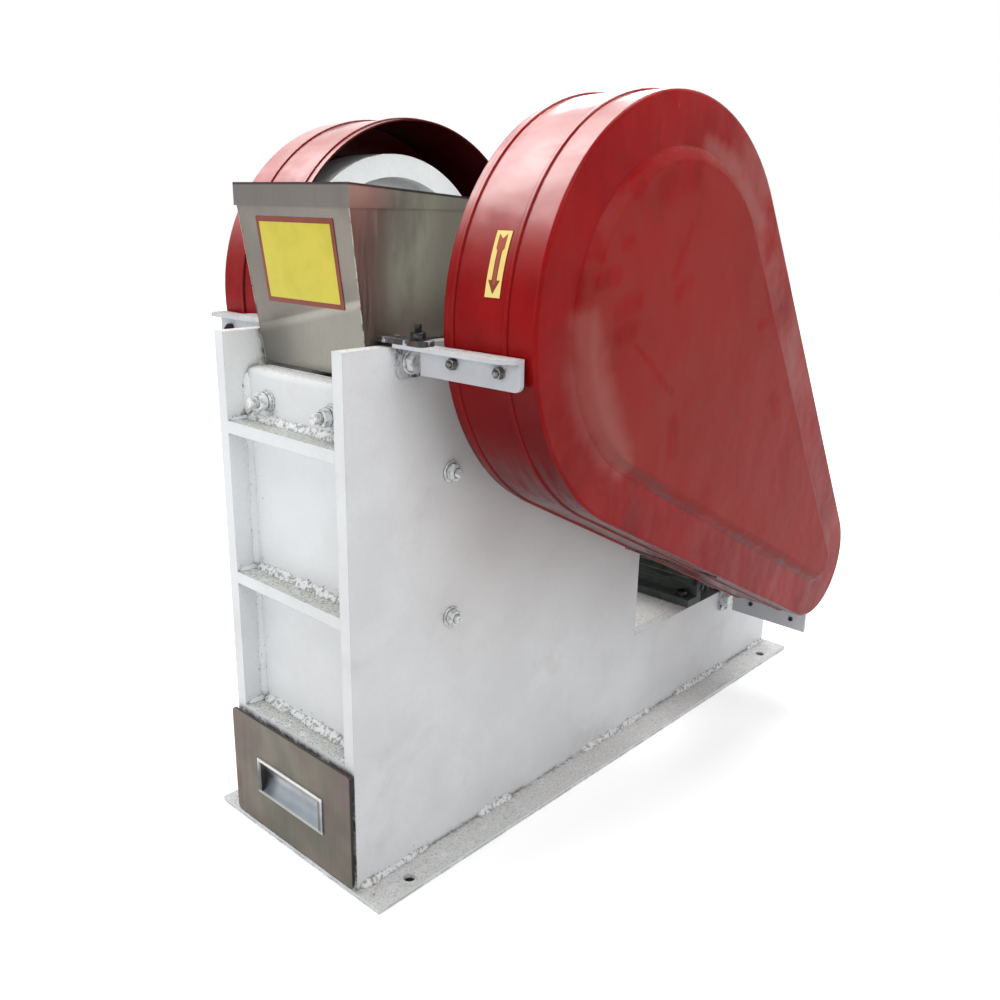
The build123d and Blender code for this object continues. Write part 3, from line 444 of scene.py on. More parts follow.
def moulded_rubber():
    # Moulded belt rubber with a fabric face: matt black with grey dust in the cloth.
    made, t, place = finish("moulded_rubber")
    dust = patches(t, place, 8, 0.45, 0.7)
    base = over(t, "#1c1c1d", "#3a3835", 1, dust)
    # The cloth's threads are half a millimetre apart, drawn at 1.5 mm.
    bump = grained(t, place, 1.5, 0.3, 0.3)[0]
    rough = add(t, "MapRange", (dust, 0, 1, 0.6, 0.85), **SMOOTH)
    surface(t, base, rough, bump, IOR=1.52)
    return made


def printed_vinyl(name, ink, faded):
    # Printed vinyl film with a clear laminate: even ink, faded in clouds, low gloss and faint bubbles.
    made, t, place = finish(name)
    fade = patches(t, place, 35, 0.4, 0.7)
    base = over(t, ink, faded, 1, fade)
    bump = grained(t, place, 14, 0.1, 0.6)[0]
    rough = add(t, "MapRange", (fade, 0, 1, 0.3, 0.45), **SMOOTH)
    surface(t, base, rough, bump, IOR=1.5, Specular_IOR_Level=0.3)
    return made


# Each coat of white: its light and dark shade, the way of the brush, its dust, its specks, how thick it lies
PLAIN, UPRIGHT, LENGTHWAYS, ROUND = ("#e8ebed", "#dcdee0"), (1, 1, 0.04), (1, 0.04, 1), (1, 0.3, 0.3)
WHITE = brushed_white_enamel("plates", PLAIN, UPRIGHT, "#dddcd9", "#b5b2ae", 0.5)
RIB_WHITE = brushed_white_enamel("ribs", PLAIN, UPRIGHT, "#bcbdb5", "#7a7874", 0.75)
BASE_WHITE = brushed_white_enamel("base", PLAIN, LENGTHWAYS, "#cdcbc8", "#aeaba7", 0.6)
# The seat is cleaner and paler than the plates; the paleness is painted light, for light that hardly reaches
# it
SEAT_WHITE = brushed_white_enamel("seat", ("#f6f6f5", "#efeeec"), UPRIGHT, "#e4e2df", "#c9c6c2", 0.4)
GREY_WHITE = brushed_white_enamel("brackets", ("#cdd0d5", "#b9bcc2"), UPRIGHT, "#d6d3d0", "#a09c98", 0.5)
# The wheels' paler white is painted light, for light that hardly reaches the flywheel inside its guard
WHEEL_WHITE = brushed_white_enamel("wheels", ("#f8fcfc", "#f0f5f5"), ROUND, "#f0f4f4", "#dfe3e3", 0.3)
RED = sprayed_red_enamel()
HOPPER_SHEET = hopper_stainless()
DRAWER_SHEET = drawer_stainless()
PULL = satin_aluminium()
MOTOR_GREY = cast_iron_enamel("cast_iron_enamel_motor", "#4b524f", "#3c423f")
BEARING_GREY = cast_iron_enamel("cast_iron_enamel_bearing", "#5a6265", "#4a5154")
MANGANESE = cast_manganese_steel()
TURNED = turned_steel()
LUG_BAR = hot_rolled_steel("hot_rolled_steel_lugs", 0.56, 0.64)
CLEAT_BAR = hot_rolled_steel("hot_rolled_steel_cleats", 0.42, 0.54)
BLACK_BOLT = bolt_steel("oily_black_steel", "#232124", "#4f4b50", 0.8)
ZINC_BOLT = bolt_steel("zinc_plated_steel", "#7d7b7a", "#555253", 0.8)
PAINTED_BOLT = bolt_steel("painted_zinc_steel", "#e4e7e8", "#b4b2b0", 0.1)
WELD = painted_weld("painted_weld", 0.48, 0.60)
CLEAN_WELD = painted_weld("painted_weld_clean", 0.62, 0.72)
HOPPER_WELD = bright_weld()
RUBBER = moulded_rubber()
YELLOW = printed_vinyl("printed_vinyl_yellow", "#d6c842", "#cabf3e")
PALE_YELLOW = printed_vinyl("printed_vinyl_pale_yellow", "#efd884", "#e8cd78")
DARK_RED = printed_vinyl("printed_vinyl_red", "#84361f", "#77301d")
ORANGE_RED = printed_vinyl("printed_vinyl_orange", "#a5523f", "#96472f")

FINISH_OF = {
    WHITE: ["right_side_plate", "left_side_plate", "front_wall", "rear_wall", "end_plate", "bearing_pads",
            "toggle_block", "drawer_runners"],
    RIB_WHITE: ["front_ribs"],
    BASE_WHITE: ["base_plate"],
    SEAT_WHITE: ["motor_plate"],
    GREY_WHITE: ["right_front_bracket", "left_front_bracket", "right_low_bracket", "left_low_bracket"],
    WHEEL_WHITE: ["flywheel", "driven_pulley"],
    RED: ["belt_guard", "flywheel_guard"],
    HOPPER_SHEET: ["hopper"],
    DRAWER_SHEET: ["drawer_front", "drawer_tray"],
    PULL: ["drawer_pull"],
    MOTOR_GREY: ["motor_frame", "motor_shield", "fan_cowl", "cooling_fan", "terminal_box"],
    BEARING_GREY: ["right_bearing_block", "left_bearing_block"],
    MANGANESE: ["fixed_jaw_plate", "swing_jaw_plate", "swing_jaw", "right_cheek_plate", "left_cheek_plate",
                "toggle_plate", "motor_pulley"],
    TURNED: ["eccentric_shaft", "tension_rod", "tension_spring"],
    LUG_BAR: ["hopper_lugs"],
    CLEAT_BAR: ["bracket_cleats"],
    RUBBER: ["drive_belts"],
}
for paint, names in FINISH_OF.items():
    for name in names:
        for slot in nodes[name].material_slots:
            slot.material = paint


AROUND = np.linspace(0, 2 * pi, 36, endpoint=False)
HEXAGON = 1 / np.cos((AROUND + pi / 6) % (pi / 3) - pi / 6)  # a hexagon's radius for a flat at 1


def skin(rows, closed=True):
    """A form of quads between rows of points; closed joins each row's end to its start."""
    rows = np.asarray(rows, float)
    index = np.arange(rows.shape[0] * rows.shape[1]).reshape(rows.shape[:2])
    if closed:
        index = np.concatenate([index, index[:, :1]], 1)
    quads = np.stack([index[:-1, :-1], index[:-1, 1:], index[1:, 1:], index[1:, :-1]], -1)
    return rows.reshape(-1, 3), quads.reshape(-1, 4)


def turned(profile):
    """Spins rows of (radius, height) about Z; either may change round the turn."""
    rings = [np.broadcast_arrays(r * np.cos(AROUND), r * np.sin(AROUND), h) for r, h in profile]
    return skin([np.stack(ring, -1) for ring in rings])


def stand(form, place, axis=(0, 0, 1), spin=0.0):
    """Sets a form made along Z at a place, along an axis, turned by spin degrees."""
    turn = Vector(axis).to_track_quat("Z", "Y").to_matrix() @ Matrix.Rotation(radians(spin), 3, "Z")
    return form[0] @ np.array(turn).T + np.asarray(place, float), form[1]


def piece(name, made_of, body, sharp=35):
    """Joins forms, given in mm under their finish, to one object on a body.

    Edges that bend by more than sharp, in degrees, stay crisp.
    """
    mesh = bpy.data.meshes.new(name)
    points, faces, finish_number, count = [], [], [], 0
    for number, (paint, forms) in enumerate(made_of.items()):
        mesh.materials.append(paint)
        for form_points, form_faces in forms:
            points.append(form_points)
            faces.extend([int(corner) + count for corner in face] for face in form_faces)
            finish_number.extend([number] * len(form_faces))
            count += len(form_points)
    mesh.from_pydata((np.concatenate(points) * MM).tolist(), [], faces)
    mesh.polygons.foreach_set("material_index", finish_number)
    mesh.polygons.foreach_set("use_smooth", [True] * len(faces))
    mesh.set_sharp_from_angle(angle=radians(sharp))
    mesh.validate()
    made = bpy.data.objects.new(name, mesh)
    bpy.context.scene.collection.objects.link(made)
    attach(made, body)
    return made


def hex_nut(flats, thick, bore):
    """A nut with both faces chamfered, open for its bolt."""
    r, hole = flats / 2, bore / 2
    dip = (HEXAGON - 0.95) * r * 0.58
    flats_out = r * HEXAGON
    return turned([(hole, 0), (0.95 * r, 0), (flats_out, dip), (flats_out, thick - dip), (0.95 * r, thick),
                   (hole + 0.6, thick), (hole, thick - 0.8), (hole, 0)])


def hex_head(flats, thick):
    """A bolt head, chamfered on top, with the shallow dish that forging leaves."""
    r = flats / 2
    dip = (HEXAGON - 0.95) * r * 0.58
    return turned([(0, 0), (r * HEXAGON, 0), (r * HEXAGON, thick - dip), (0.95 * r, thick), (0.7 * r, thick),
                   (0.6 * r, thick - 0.4), (0, thick - 0.4)])


def flat_washer(outer, bore, thick):
    soft = 0.35
    return turned([(bore / 2, 0), (outer / 2 - soft, 0), (outer / 2, soft), (outer / 2, thick - soft),
                   (outer / 2 - soft, thick), (bore / 2, thick), (bore / 2, 0)])


def spring_washer(outer, bore, thick):
    """A split ring whose ends stand a little apart."""
    corners = ((bore / 2, 0), (bore / 2, thick), (outer / 2, thick), (outer / 2, 0))
    rows = []
    for turn in np.linspace(radians(4), radians(352), 48):
        lift = 0.5 * turn / (2 * pi)
        rows.append([(r * cos(turn), r * sin(turn), z + lift) for r, z in corners])
    points, quads = skin(rows)
    last = len(rows) * 4
    return points, quads.tolist() + [[3, 2, 1, 0], [last - 4, last - 3, last - 2, last - 1]]


def threaded_end(size, length, pitch):
    """A bolt's end with its helical thread and a chamfered tip."""
    r, rows = size / 2, []
    for height in np.arange(0, length, pitch / 4):
        cut = abs((height / pitch - AROUND / (2 * pi)) % 1 * 2 - 1) * 0.6 * pitch
        rows.append((np.minimum(r - cut, r - max(0, height - length + 1.2)), height))
    return turned(rows + [(r - 1.3, length), (0, length)])


def stud_set(size, flats, tip, washer, pitch=1.75, split=True):
    """What shows of a stud: washer, spring washer, nut and threaded tip, stacked along Z."""
    flat_t, split_t, nut_t = 0.2 * size, 0.25 * size, 0.8 * size
    forms = [flat_washer(washer, size, flat_t)]
    top = flat_t
    if split:
        forms.append(stand(spring_washer(1.75 * size, size, split_t), (0, 0, top)))
        top += split_t + 0.4
    forms.append(stand(hex_nut(flats, nut_t, size), (0, 0, top)))
    forms.append(threaded_end(size, top + nut_t + tip, pitch))
    return forms


def bolt_set(size, flats, washer):
    """What shows of a bolt: washer and head along Z."""
    return [flat_washer(washer, size, 0.2 * size), stand(hex_head(flats, 0.65 * size), (0, 0, 0.2 * size))]


def all_at(forms, places, axis, spins):
    """Copies a stack of forms to each place, every copy turned by its own angle."""
    return [stand(form, place, axis, spin) for place, spin in zip(places, spins) for form in forms]


# Nuts on the side plates and the front wall, brushed over with the frame's paint
SIDE_NUT_Y, SIDE_NUT_HIGH_Z, SIDE_NUT_LOW_Z = -316, 462, 292
WALL_NUT_X, WALL_NUT_Z = 55.5, 531
side_nuts = stud_set(10, 17, 4.5, 23.6, split=False)
for name, side in (("right_side_nuts", 1), ("left_side_nuts", -1)):
    places = [(side * SIDE_X, SIDE_NUT_Y, z) for z in (SIDE_NUT_HIGH_Z, SIDE_NUT_LOW_Z)]
    nuts = all_at(side_nuts, places, (side, 0, 0), (12, 40))
    piece(name, {PAINTED_BOLT: nuts}, "frame")
wall_nuts = stud_set(12, 18, 9, 24, pitch=2.4)
places = [(x, WALL_Y, WALL_NUT_Z) for x in (-WALL_NUT_X, WALL_NUT_X)]
nuts = all_at(wall_nuts, places, (0, -1, 0), (5, 27))
piece("front_wall_nuts", {PAINTED_BOLT: nuts}, "frame")

# Bolts that hold the guards to their brackets, the cleats to the plates and the hopper's lug to its bracket
LEG_T = 4.0  # leg of the brackets' angle
RIGHT_GUARD_BOLTS, LEFT_GUARD_BOLTS = ((180.3, 594), (240.6, 593)), ((-160, 590), (-218, 589))  # x and z
LOW_SCREWS = ((176.3, 150), (243.8, 146))  # x and z
RIGHT_CLEAT_BOLTS, LEFT_CLEAT_BOLTS = ((-377, 588), (305, 131)), ((-364, 588), (-109, 393))  # y and z
LUG_BOLT_X, LUG_BOLT_Y = 140, -390.5
right_leg_y = extent("right_front_bracket")[1][1] - LEG_T
left_leg_y = extent("left_front_bracket")[1][1] - LEG_T
low_leg_y = extent("right_low_bracket")[0][1]
guard_bolts = stud_set(6, 10, 3.5, 11.5, pitch=1.2, split=False)
places = [(x, right_leg_y, z) for x, z in RIGHT_GUARD_BOLTS]
bolts = all_at(guard_bolts, places, (0, -1, 0), (8, 33))
piece("right_bracket_bolts", {ZINC_BOLT: bolts}, "frame")
places = [(x, left_leg_y, z) for x, z in LEFT_GUARD_BOLTS]
bolts = all_at(guard_bolts, places, (0, -1, 0), (21, 3))
piece("left_bracket_bolts", {BLACK_BOLT: bolts}, "frame")
places = [(x, low_leg_y, z) for x, z in LOW_SCREWS]
bolts = all_at([hex_head(6, 2.5)], places, (0, -1, 0), (18, 42))
piece("low_bracket_screws", {BLACK_BOLT: bolts}, "frame")
cleat_bolts = bolt_set(12, 19, 25)
places = [(CLEAT_X, y, z) for y, z in RIGHT_CLEAT_BOLTS]
bolts = all_at(cleat_bolts, places, (1, 0, 0), (10, 47))
piece("right_cleat_bolts", {PAINTED_BOLT: bolts}, "frame")
places = [(-CLEAT_X, y, z) for y, z in LEFT_CLEAT_BOLTS]
bolts = all_at(cleat_bolts, places, (-1, 0, 0), (31, 5))
piece("left_cleat_bolts", {ZINC_BOLT: bolts}, "frame")
lug_stud = stud_set(8, 13, 8.4, 17, pitch=1.25, split=False)
lug_bolt = all_at(lug_stud, [(LUG_BOLT_X, LUG_BOLT_Y, LUG_TOP)], (0, 0, 1), (14,))
piece("hopper_lug_bolt", {BLACK_BOLT: lug_bolt}, "frame")

# Bearing block fasteners
BLOCK_X = sum(extent("right_bearing_block"))[0] / 2
BLOCK_FOOT_T, CAP_LEDGE_UP = 22.0, 17.0
FOOT_BOLT_Y, CAP_BOLT_Y = 75, 63  # from the shaft
FOOT_TOP = extent("right_bearing_block")[0][2] + BLOCK_FOOT_T
foot_bolts = bolt_set(12, 18, 22)
cap_bolts = bolt_set(10, 16, 16)
for name, side in (("right_bearing_bolts", 1), ("left_bearing_bolts", -1)):
    feet = [(side * BLOCK_X, SHAFT_Y + reach, FOOT_TOP) for reach in (-FOOT_BOLT_Y, FOOT_BOLT_Y)]
    ledge = SHAFT_Z + CAP_LEDGE_UP
    caps = [(side * BLOCK_X, SHAFT_Y + reach, ledge) for reach in (-CAP_BOLT_Y, CAP_BOLT_Y)]
    bolts = all_at(foot_bolts, feet, (0, 0, 1), (9, 44)) + all_at(cap_bolts, caps, (0, 0, 1), (25, 50))
    piece(name, {BLACK_BOLT: bolts}, "frame")

# Motor fasteners: feet, terminal lid, end shield and fan cowl
BOX_X, BOX_TOP = sum(extent("terminal_box"))[0] / 2, extent("terminal_box")[1][2]
FOOT_T, FOOT_X, FOOT_Y = 12.0, 66.0, 56.0
LID_X, LID_Y = 36.0, 40.0
SHIELD_BOLT_R, COWL_R, COWL_SCREW_IN = 83.0, 88.0, 9.0
FOOT_Z = TAIL_TOP + FOOT_T
feet = [(BOX_X + along, MOTOR_Y + out, FOOT_Z) for along in (-FOOT_X, FOOT_X) for out in (-FOOT_Y, FOOT_Y)]
bolts = all_at(bolt_set(10, 16, 20), feet, (0, 0, 1), (4, 22, 35, 51))
piece("motor_foot_bolts", {BLACK_BOLT: bolts}, "frame")
lid = [(BOX_X + along, MOTOR_Y + out, BOX_TOP) for along in (-LID_X, LID_X) for out in (-LID_Y, LID_Y)]
bolts = all_at(bolt_set(5, 8, 9), lid, (0, 0, 1), (4, 22, 35, 51))
piece("terminal_lid_screws", {BLACK_BOLT: bolts}, "frame")
rounds = [(cos(a), sin(a)) for a in (radians(45 + 90 * n) for n in range(4))]
rim = [(MOTOR_FRONT_X, MOTOR_Y + SHIELD_BOLT_R * c, MOTOR_Z + SHIELD_BOLT_R * s) for c, s in rounds]
bolts = all_at([hex_head(10, 5)], rim, (1, 0, 0), (3, 18, 33, 48))
piece("motor_shield_bolts", {BLACK_BOLT: bolts}, "frame")
cowl_end = extent("fan_cowl")[1][0] - COWL_SCREW_IN
screws = []
for c, s in rounds:
    place = (cowl_end, MOTOR_Y + COWL_R * c, MOTOR_Z + COWL_R * s)
    screws.append(stand(hex_head(8, 3.2), place, (0, c, s), 10))
piece("fan_cowl_screws", {BLACK_BOLT: screws}, "frame")

# Thread on the tension rod behind its nut
ROD_LOW, ROD_HIGH = extent("tension_rod")
ROD_Z, ROD_R, THREAD_LEN = (ROD_LOW[2] + ROD_HIGH[2]) / 2, 8.0, 12.0
rod_end = (0, ROD_HIGH[1] - THREAD_LEN, ROD_Z)
thread = stand(threaded_end(2 * ROD_R + 1.6, THREAD_LEN + 0.4, 2.0), rod_end, (0, 1, 0))
piece("tension_rod_thread", {TURNED: [thread]}, "frame")


FILLET_STEP, FILLET_BEAD, SEAM_STEP, SEAM_BEAD = 1.6, 5.5, 1.2, 4.5  # mm along a weld


def wander(count, step, seed):
    """A smooth random line through count points, about -1 to 1, that turns every step points."""
    rng = np.random.default_rng(seed)
    knots = rng.uniform(-1, 1, count // step + 3)
    return np.interp(np.arange(count) / step, np.arange(len(knots)), knots)


def fillet_weld(start, end, out, up, leg, lumpy, seed):
    """A hand-laid fillet weld in the corner between two plates: rippled, lumpy, tapered at its ends."""
    start, end, out, up = (np.asarray(v, float) for v in (start, end, out, up))
    length = np.linalg.norm(end - start)
    count = int(length / FILLET_STEP) + 2
    run = np.linspace(0, length, count)
    beads = 0.10 * np.cos(2 * pi * run / FILLET_BEAD + 2 * wander(count, 7, seed))
    ripple = 1 + lumpy * (beads + 0.28 * wander(count, 9, seed + 1))
    ends = np.sqrt(np.clip(np.minimum(run, length - run) / (1.5 * leg), 0.02, 1))
    rows = []
    for at, size in zip(run, leg * ripple * ends):
        corner = start + (end - start) * at / length
        row = [corner - 0.8 * (out + up)]
        for turn in np.linspace(0, pi / 2, 7):
            flat = turn / (pi / 2)
            reach = size * (0.5 * (1 - flat) + 0.5 * cos(turn))
            rise = size * (0.5 * flat + 0.5 * sin(turn))
            row.append(corner + reach * out + rise * up - 0.4 * (out * (flat > 0.9) + up * (flat < 0.1)))
        rows.append(row)
    return skin(rows)


def spatter(start, end, out, up, wide, count, seed):
    """Drops of weld metal stuck to both plates beside a weld."""
    start, end, out, up = (np.asarray(v, float) for v in (start, end, out, up))
    along = (end - start) / np.linalg.norm(end - start)
    rng = np.random.default_rng(seed)
    forms = []
    for _ in range(count):
        flat, face = (out, up) if rng.random() < 0.6 else (up, out)
        centre = start + (end - start) * rng.random() + flat * abs(rng.normal(0, wide))
        size = rng.uniform(0.6, 1.5)
        rows = []
        for lift, wide_at in ((-0.3, 1.0), (0.25, 1.0), (0.65, 0.75), (0.9, 0.3)):
            spread = [size * wide_at * rng.uniform(0.8, 1.1) for _ in range(6)]
            ring = [r * (cos(n * pi / 3) * along + sin(n * pi / 3) * flat) for n, r in enumerate(spread)]
            rows.append([centre + face * size * lift + step for step in ring])
        form = skin(rows)
        forms.append((form[0], form[1].tolist() + [list(range(18, 24))]))
    return forms


def seam_weld(start, end, across, face, wide, seed):
    """A round run of weld along an outside corner."""
    start, end, across, face = (np.asarray(v, float) for v in (start, end, across, face))
    length = np.linalg.norm(end - start)
    count = int(length / SEAM_STEP)
    run = np.linspace(0, length, count)
    beads = 0.16 * np.cos(2 * pi * run / SEAM_BEAD + 2 * wander(count, 6, seed))
    rows = []
    for at, r in zip(run, wide * (1 + beads + 0.25 * wander(count, 8, seed + 1))):
        centre = start + (end - start) * at / length
        rows.append([centre + r * (cos(a) * across + sin(a) * face) for a in np.arange(8) * pi / 4])
    return skin(rows)


# Stitch welds along the base, welds on the ribs, and smoother ones up the corners of the walls
# Each run: start, end, the two ways out of the corner, leg, lumpiness, drops of spatter.
STITCHES = ((-456, -352), (-268, -205), (-62, 108), (172, 322), (405, 457))  # y of the welds along the base
rough_runs, clean_runs = [], []
for side in (1, -1):
    edge, inner, inward = side * SIDE_X, side * INNER_X, (-side, 0, 0)
    for y0, y1 in STITCHES:
        rough_runs.append(((edge, y0, BASE_TOP), (edge, y1, BASE_TOP), (side, 0, 0), (0, 0, 1), 6, 1.2, 10))
    highs = (RIB_TOPS[1] - RIB_T, RIB_TOPS[2] - RIB_T, WALL_TOP - 7)
    for low, high in zip(RIB_TOPS, highs):
        clean_runs.append(((inner, WALL_Y, low), (inner, WALL_Y, high), (0, -1, 0), inward, 5.5, 0.7, 14))
    for top in RIB_TOPS:
        clean_runs.append(((inner, WALL_Y, top), (inner, FRONT_Y + 4, top), inward, (0, 0, 1), 3.5, 0.7, 6))
    clean_runs.append(((inner, REAR_Y, TAIL_TOP), (inner, REAR_Y, REAR_TOP), (0, 1, 0), inward, 6, 0.8, 8))
for top in RIB_TOPS:
    rough_runs.append(((-INNER_X, WALL_Y, top), (INNER_X, WALL_Y, top), (0, -1, 0), (0, 0, 1), 7, 1.1, 60))
rear_foot = [(side * INNER_X, REAR_Y, TAIL_TOP) for side in (-1, 1)]
clean_runs.append((*rear_foot, (0, 1, 0), (0, 0, 1), 6, 0.8, 10))
welds, drops, seed = {WELD: [], CLEAN_WELD: []}, [], 1
for paint, runs in ((WELD, rough_runs), (CLEAN_WELD, clean_runs)):
    for start, end, out, up, leg, lumpy, grains in runs:
        seed += 3
        welds[paint].append(fillet_weld(start, end, out, up, leg, lumpy, seed))
        drops.extend(spatter(start, end, out, up, 7, grains, seed))
piece("frame_welds", welds, "frame", sharp=60)
piece("weld_spatter", {WELD: drops}, "frame", sharp=80)

seams = []
for side in (1, -1):
    for end, back in (("front", -1), ("back", 1)):
        seed += 3
        low = (side * HOPPER_LOW["half"], HOPPER_LOW[end], HOPPER_LOW["z"])
        top = (side * HOPPER_TOP["half"], HOPPER_TOP[end], HOPPER_TOP["z"])
        seams.append(seam_weld(low, top, (side, 0, 0), (0, back, 0), 0.75 if side > 0 else 0.5, seed))
piece("hopper_corner_welds", {HOPPER_WELD: seams}, "frame", sharp=60)


def rounded_plate(wide, high, corner, thick, lift=0.0):
    """A thin plate with rounded corners in the XY plane, its back at the height lift."""
    outline = []
    for cx, cy, start in ((1, 1, 0), (-1, 1, 90), (-1, -1, 180), (1, -1, 270)):
        for turn in np.radians(np.linspace(start, start + 90, 6)):
            x = cx * (wide / 2 - corner) + corner * cos(turn)
            outline.append((x, cy * (high / 2 - corner) + corner * sin(turn)))
    rows = [[(x * grow, y * grow, z) for x, y in outline]
            for z, grow in ((lift, 1), (lift + thick * 0.7, 1), (lift + thick, 1 - 0.4 * thick / wide))]
    points, quads = skin(rows)
    count = len(outline)
    return points, quads.tolist() + [list(range(2 * count, 3 * count)), list(range(count))[::-1]]


# Blank plate on the hopper's leaning front wall
SIGN_X, SIGN_Z, SIGN_W, SIGN_H, SIGN_BORDER = 2.0, 680.5, 128.0, 88.0, 5.2
lean = np.array([0.0, HOPPER_TOP["front"] - HOPPER_LOW["front"], HOPPER_TOP["z"] - HOPPER_LOW["z"]])
lean /= np.linalg.norm(lean)
outward = np.cross((1, 0, 0), lean)
foot = np.array([SIGN_X, HOPPER_LOW["front"], HOPPER_LOW["z"]])
middle = foot + lean * (SIGN_Z - HOPPER_LOW["z"]) / lean[2]
laid = np.stack([(1, 0, 0), lean, outward], 1)
sign = {}
for paint, border, thick in ((DARK_RED, 0.0, 0.8), (YELLOW, SIGN_BORDER, 1.0)):
    points, faces = rounded_plate(SIGN_W - 2 * border, SIGN_H - 2 * border, 1.2, thick)
    sign[paint] = [(points @ laid.T + middle, faces)]
piece("hopper_blank_plate", sign, "frame")


def on_rim(x, along, lift):
    """A point on the belt guard's round rim, along mm up it from shaft height on the front."""
    turn = along / GUARD_R
    r = GUARD_R + lift
    return (x, SHAFT_Y - r * cos(turn), SHAFT_Z + r * sin(turn))


def rim_strip(widths, x, lift, thick):
    """A strip laid on the rim: (place along the rim, left edge, right edge) rows about x."""
    rows = []
    for along, left, right in widths:
        rows.append([on_rim(x + left, along, lift), on_rim(x + left, along, lift + thick),
                     on_rim(x + right, along, lift + thick), on_rim(x + right, along, lift)])
    points, quads = skin(rows)
    last = len(rows) * 4
    return points, quads.tolist() + [[3, 2, 1, 0], [last - 4, last - 3, last - 2, last - 1]]


# Turning-direction plate on the rim of the belt guard: an arrow that points down, with a notched tail
PLATE_X, PLATE_LOW, PLATE_HIGH, PLATE_HALF = 221.2, 31.0, 93.0, 9.8
EDGE_W, TIP_IN, HEAD_LEN, HEAD_HALF, SHAFT_HALF, TAIL_HALF = 0.5, 4.0, 12.0, 7.0, 2.6, 5.0


def plate_strip(start, end, left, right, lift):
    """A strip of the arrow plate whose edges run straight from start to end, left and right at both."""
    rows = np.linspace((start, left[0], right[0]), (end, left[1], right[1]), 2 + int(abs(end - start) / 3))
    return rim_strip(rows, PLATE_X, 0.0, lift)


tip = PLATE_LOW + TIP_IN
head, neck, tail, end = tip + HEAD_LEN, tip + 38, tip + 41, tip + 50
inner_half = PLATE_HALF - EDGE_W
backing = plate_strip(PLATE_LOW, PLATE_HIGH, (-PLATE_HALF,) * 2, (PLATE_HALF,) * 2, 0.5)
field = plate_strip(PLATE_LOW + EDGE_W, PLATE_HIGH - EDGE_W, (-inner_half,) * 2, (inner_half,) * 2, 0.7)
shaft = [plate_strip(head - 4, neck, (-SHAFT_HALF,) * 2, (SHAFT_HALF,) * 2, 0.9),
         plate_strip(neck, tail, (-SHAFT_HALF, -TAIL_HALF), (SHAFT_HALF, TAIL_HALF), 0.9),
         plate_strip(tail, end, (-TAIL_HALF,) * 2, (TAIL_HALF,) * 2, 0.9),
         plate_strip(end, end + 4, (-TAIL_HALF,) * 2, (0, -TAIL_HALF + 0.6), 0.9),
         plate_strip(end, end + 4, (0, TAIL_HALF - 0.6), (TAIL_HALF,) * 2, 0.9)]
outline = [plate_strip(tip, head, (-0.2, -HEAD_HALF), (0.2, -SHAFT_HALF), 1.0),
           plate_strip(tip, head, (-0.2, SHAFT_HALF), (0.2, HEAD_HALF), 1.0),
           plate_strip(tip, head - 4, (-0.2, -SHAFT_HALF), (0.2, SHAFT_HALF), 1.0)]
for left, right in ((-SHAFT_HALF - 0.3, -SHAFT_HALF + 0.4), (SHAFT_HALF - 0.4, SHAFT_HALF + 0.3)):
    outline.append(plate_strip(head - 4, neck, (left,) * 2, (right,) * 2, 1.0))
arrow = {DARK_RED: [backing] + outline, PALE_YELLOW: [field], ORANGE_RED: shaft}
piece("guard_arrow_plate", arrow, "frame")

# Joint of the guard's rim, a rough seam across its straight lower side, with a black strip beside it as
# painted shade in the gap
SEAM_START = np.array((GUARD_OPEN_X + 1, -52.0, 322.4))
SEAM_END = np.array((GUARD_PANEL_X - 20, -2.0, 296.4))
SEAM_OUT = np.array((0.0, -0.4617, -0.887))
seam_run = (SEAM_END - SEAM_START) / np.linalg.norm(SEAM_END - SEAM_START)
seam_side = np.cross(SEAM_OUT, seam_run)
gap_shade_off = 3.2 * seam_side
lip = seam_weld(SEAM_START, SEAM_END, seam_side, SEAM_OUT, 2.2, 301)
gap_shade = seam_weld(SEAM_START + gap_shade_off, SEAM_END + gap_shade_off, seam_side, SEAM_OUT, 1.5, 305)
piece("guard_lap_joint", {RED: [lip], BLACK_BOLT: [gap_shade]}, "frame", sharp=60)

# Camera at the photograph's standpoint
STANDPOINT = (0.8363, -1.0308, 0.7397)
AZIMUTH, ELEVATION, ROLL = radians(42.45), radians(16.89), radians(1.07)
away = Vector((sin(AZIMUTH) * cos(ELEVATION), -cos(AZIMUTH) * cos(ELEVATION), sin(ELEVATION)))
level = Vector((cos(AZIMUTH), sin(AZIMUTH), 0))
upright = away.cross(level)
seen_right = cos(ROLL) * level + sin(ROLL) * upright
seen_up = -sin(ROLL) * level + cos(ROLL) * upright
camera = bpy.data.objects.new("camera", bpy.data.cameras.new("camera"))
camera.data.sensor_width = 36.0
camera.data.lens = 35.05
camera.data.clip_start = 0.05
turned_to = Matrix((seen_right, seen_up, away)).transposed().to_4x4()
camera.matrix_world = Matrix.Translation(STANDPOINT) @ turned_to
bpy.context.scene.collection.objects.link(camera)
bpy.context.scene.camera = camera


def softbox(name, place, wide, high, watts, aim=(0, 0, 0.4), spread=180):
    """A rectangular lamp that looks at the middle of the machine; a grid narrows its spread."""
    lamp = bpy.data.lights.new(name, "AREA")
    lamp.shape, lamp.size, lamp.size_y, lamp.energy = "RECTANGLE", wide, high, watts
    lamp.spread = radians(spread)
    made = bpy.data.objects.new(name, lamp)
    made.location = place
    made.rotation_euler = (Vector(aim) - Vector(place)).to_track_quat("-Z", "Y").to_euler()
    bpy.context.scene.collection.objects.link(made)


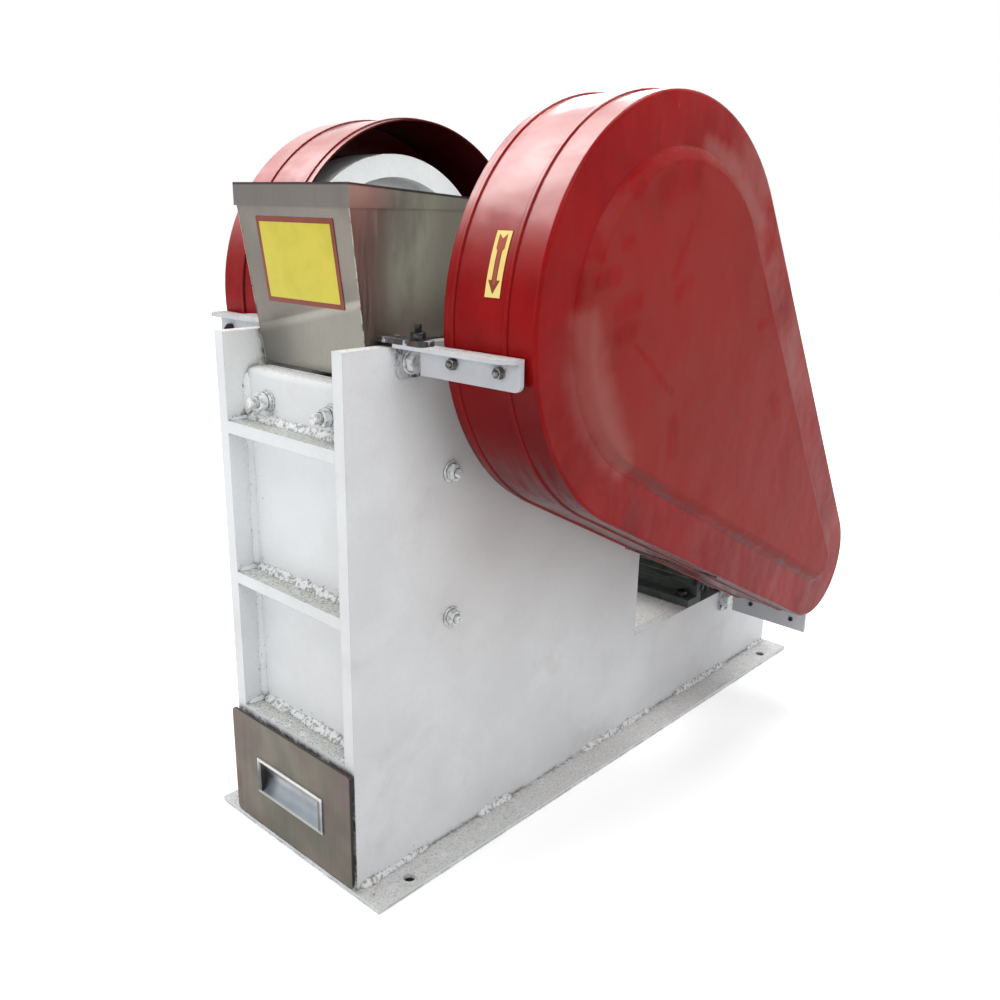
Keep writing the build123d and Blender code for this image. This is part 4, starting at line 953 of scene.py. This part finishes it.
# A large softbox high on the left, as the open sky was, one above the motor, three fills, and one with a
# grid for the flywheel inside its guard
softbox("sky_softbox", (-1.3, -1.0, 2.9), 2.2, 1.6, 34)
softbox("top_softbox", (0.0, 0.7, 3.0), 1.6, 1.4, 42)
softbox("right_softbox", (2.3, -0.8, 2.4), 2.0, 1.6, 26)
softbox("front_softbox", (-0.4, -2.8, 1.1), 1.6, 1.2, 13)
softbox("back_softbox", (-1.5, 2.0, 1.7), 1.6, 1.2, 16)
AIM_FORWARD, AIM_DOWN = 200, 40  # from the flywheel's upper rear corner
wheel_top = (extent("flywheel")[1] - (0, AIM_FORWARD, AIM_DOWN)) * MM
softbox("flywheel_softbox", (1.3, -0.5, 2.0), 0.3, 0.3, 0.35, wheel_top, 24)

world = bpy.data.worlds.new("studio")
world.use_nodes = True
sky = world.node_tree
sky.nodes.clear()
seen = add(sky, "LightPath", out="Is Camera Ray")
for ray in ("Is Glossy Ray", "Is Transmission Ray"):
    seen = add(sky, "Math", {0: seen, 1: add(sky, "LightPath", out=ray)}, operation="MAXIMUM")
light = add(sky, "MapRange", {"Value": seen, "To Min": 0.5, "To Max": 1.0})
add(sky, "OutputWorld", {"Surface": add(sky, "Background", {"Color": (1, 1, 1, 1), "Strength": light})})
bpy.context.scene.world = world

# Pale studio floor that fades into the white background, with the shadow left in it
paper, t, place = finish("white_paper_floor")
eye = add(t, "LightPath", out="Is Camera Ray")
glint = add(t, "Math", {0: eye, 1: add(t, "LightPath", out="Is Glossy Ray")}, operation="MAXIMUM")
away = add(t, "VectorMath", {0: place}, "Value", operation="LENGTH")
fade = add(t, "MapRange", (away, 0.45, 2.0, 0.45, 1.0), **SMOOTH)
clear = []
for axis, edge in (("X", FOOT_HALF_X), ("Y", FOOT_HALF_Y)):
    out = add(t, "Math", {0: add(t, "SeparateXYZ", {"Vector": place}, axis)}, operation="ABSOLUTE")
    clear.append(add(t, "MapRange", (out, edge - 0.012, edge - 0.002), **SMOOTH))
open_floor = add(t, "Math", {0: clear[0], 1: clear[1]}, operation="MAXIMUM")
# Under the base plate the floor is painted dark: painted shade, seen through the anchor holes
shade = add(t, "BsdfDiffuse", {"Color": over(t, "#35312f", "#e2e2e2", 1, open_floor)})
lift = add(t, "Math", {0: fade, 1: open_floor}, operation="MULTIPLY")
lift = add(t, "Math", {0: lift, 1: glint}, operation="MULTIPLY")
glow = add(t, "Emission", {"Color": (1, 1, 1, 1), "Strength": lift})
add(t, "OutputMaterial", {"Surface": add(t, "AddShader", {0: shade, 1: glow})})
FLOOR_R, FLOOR_Z, FLOOR_CORNERS = 9, -0.0005, 64
floor_mesh = bpy.data.meshes.new("floor")
turns = np.linspace(0, 2 * pi, FLOOR_CORNERS, endpoint=False)
ring = [(FLOOR_R * cos(a), FLOOR_R * sin(a), FLOOR_Z) for a in turns]
floor_mesh.from_pydata(ring, [], [list(range(FLOOR_CORNERS))])
floor_mesh.materials.append(paper)
floor = bpy.data.objects.new("floor", floor_mesh)
bpy.context.scene.collection.objects.link(floor)

bpy.context.scene.view_settings.view_transform = "Standard"
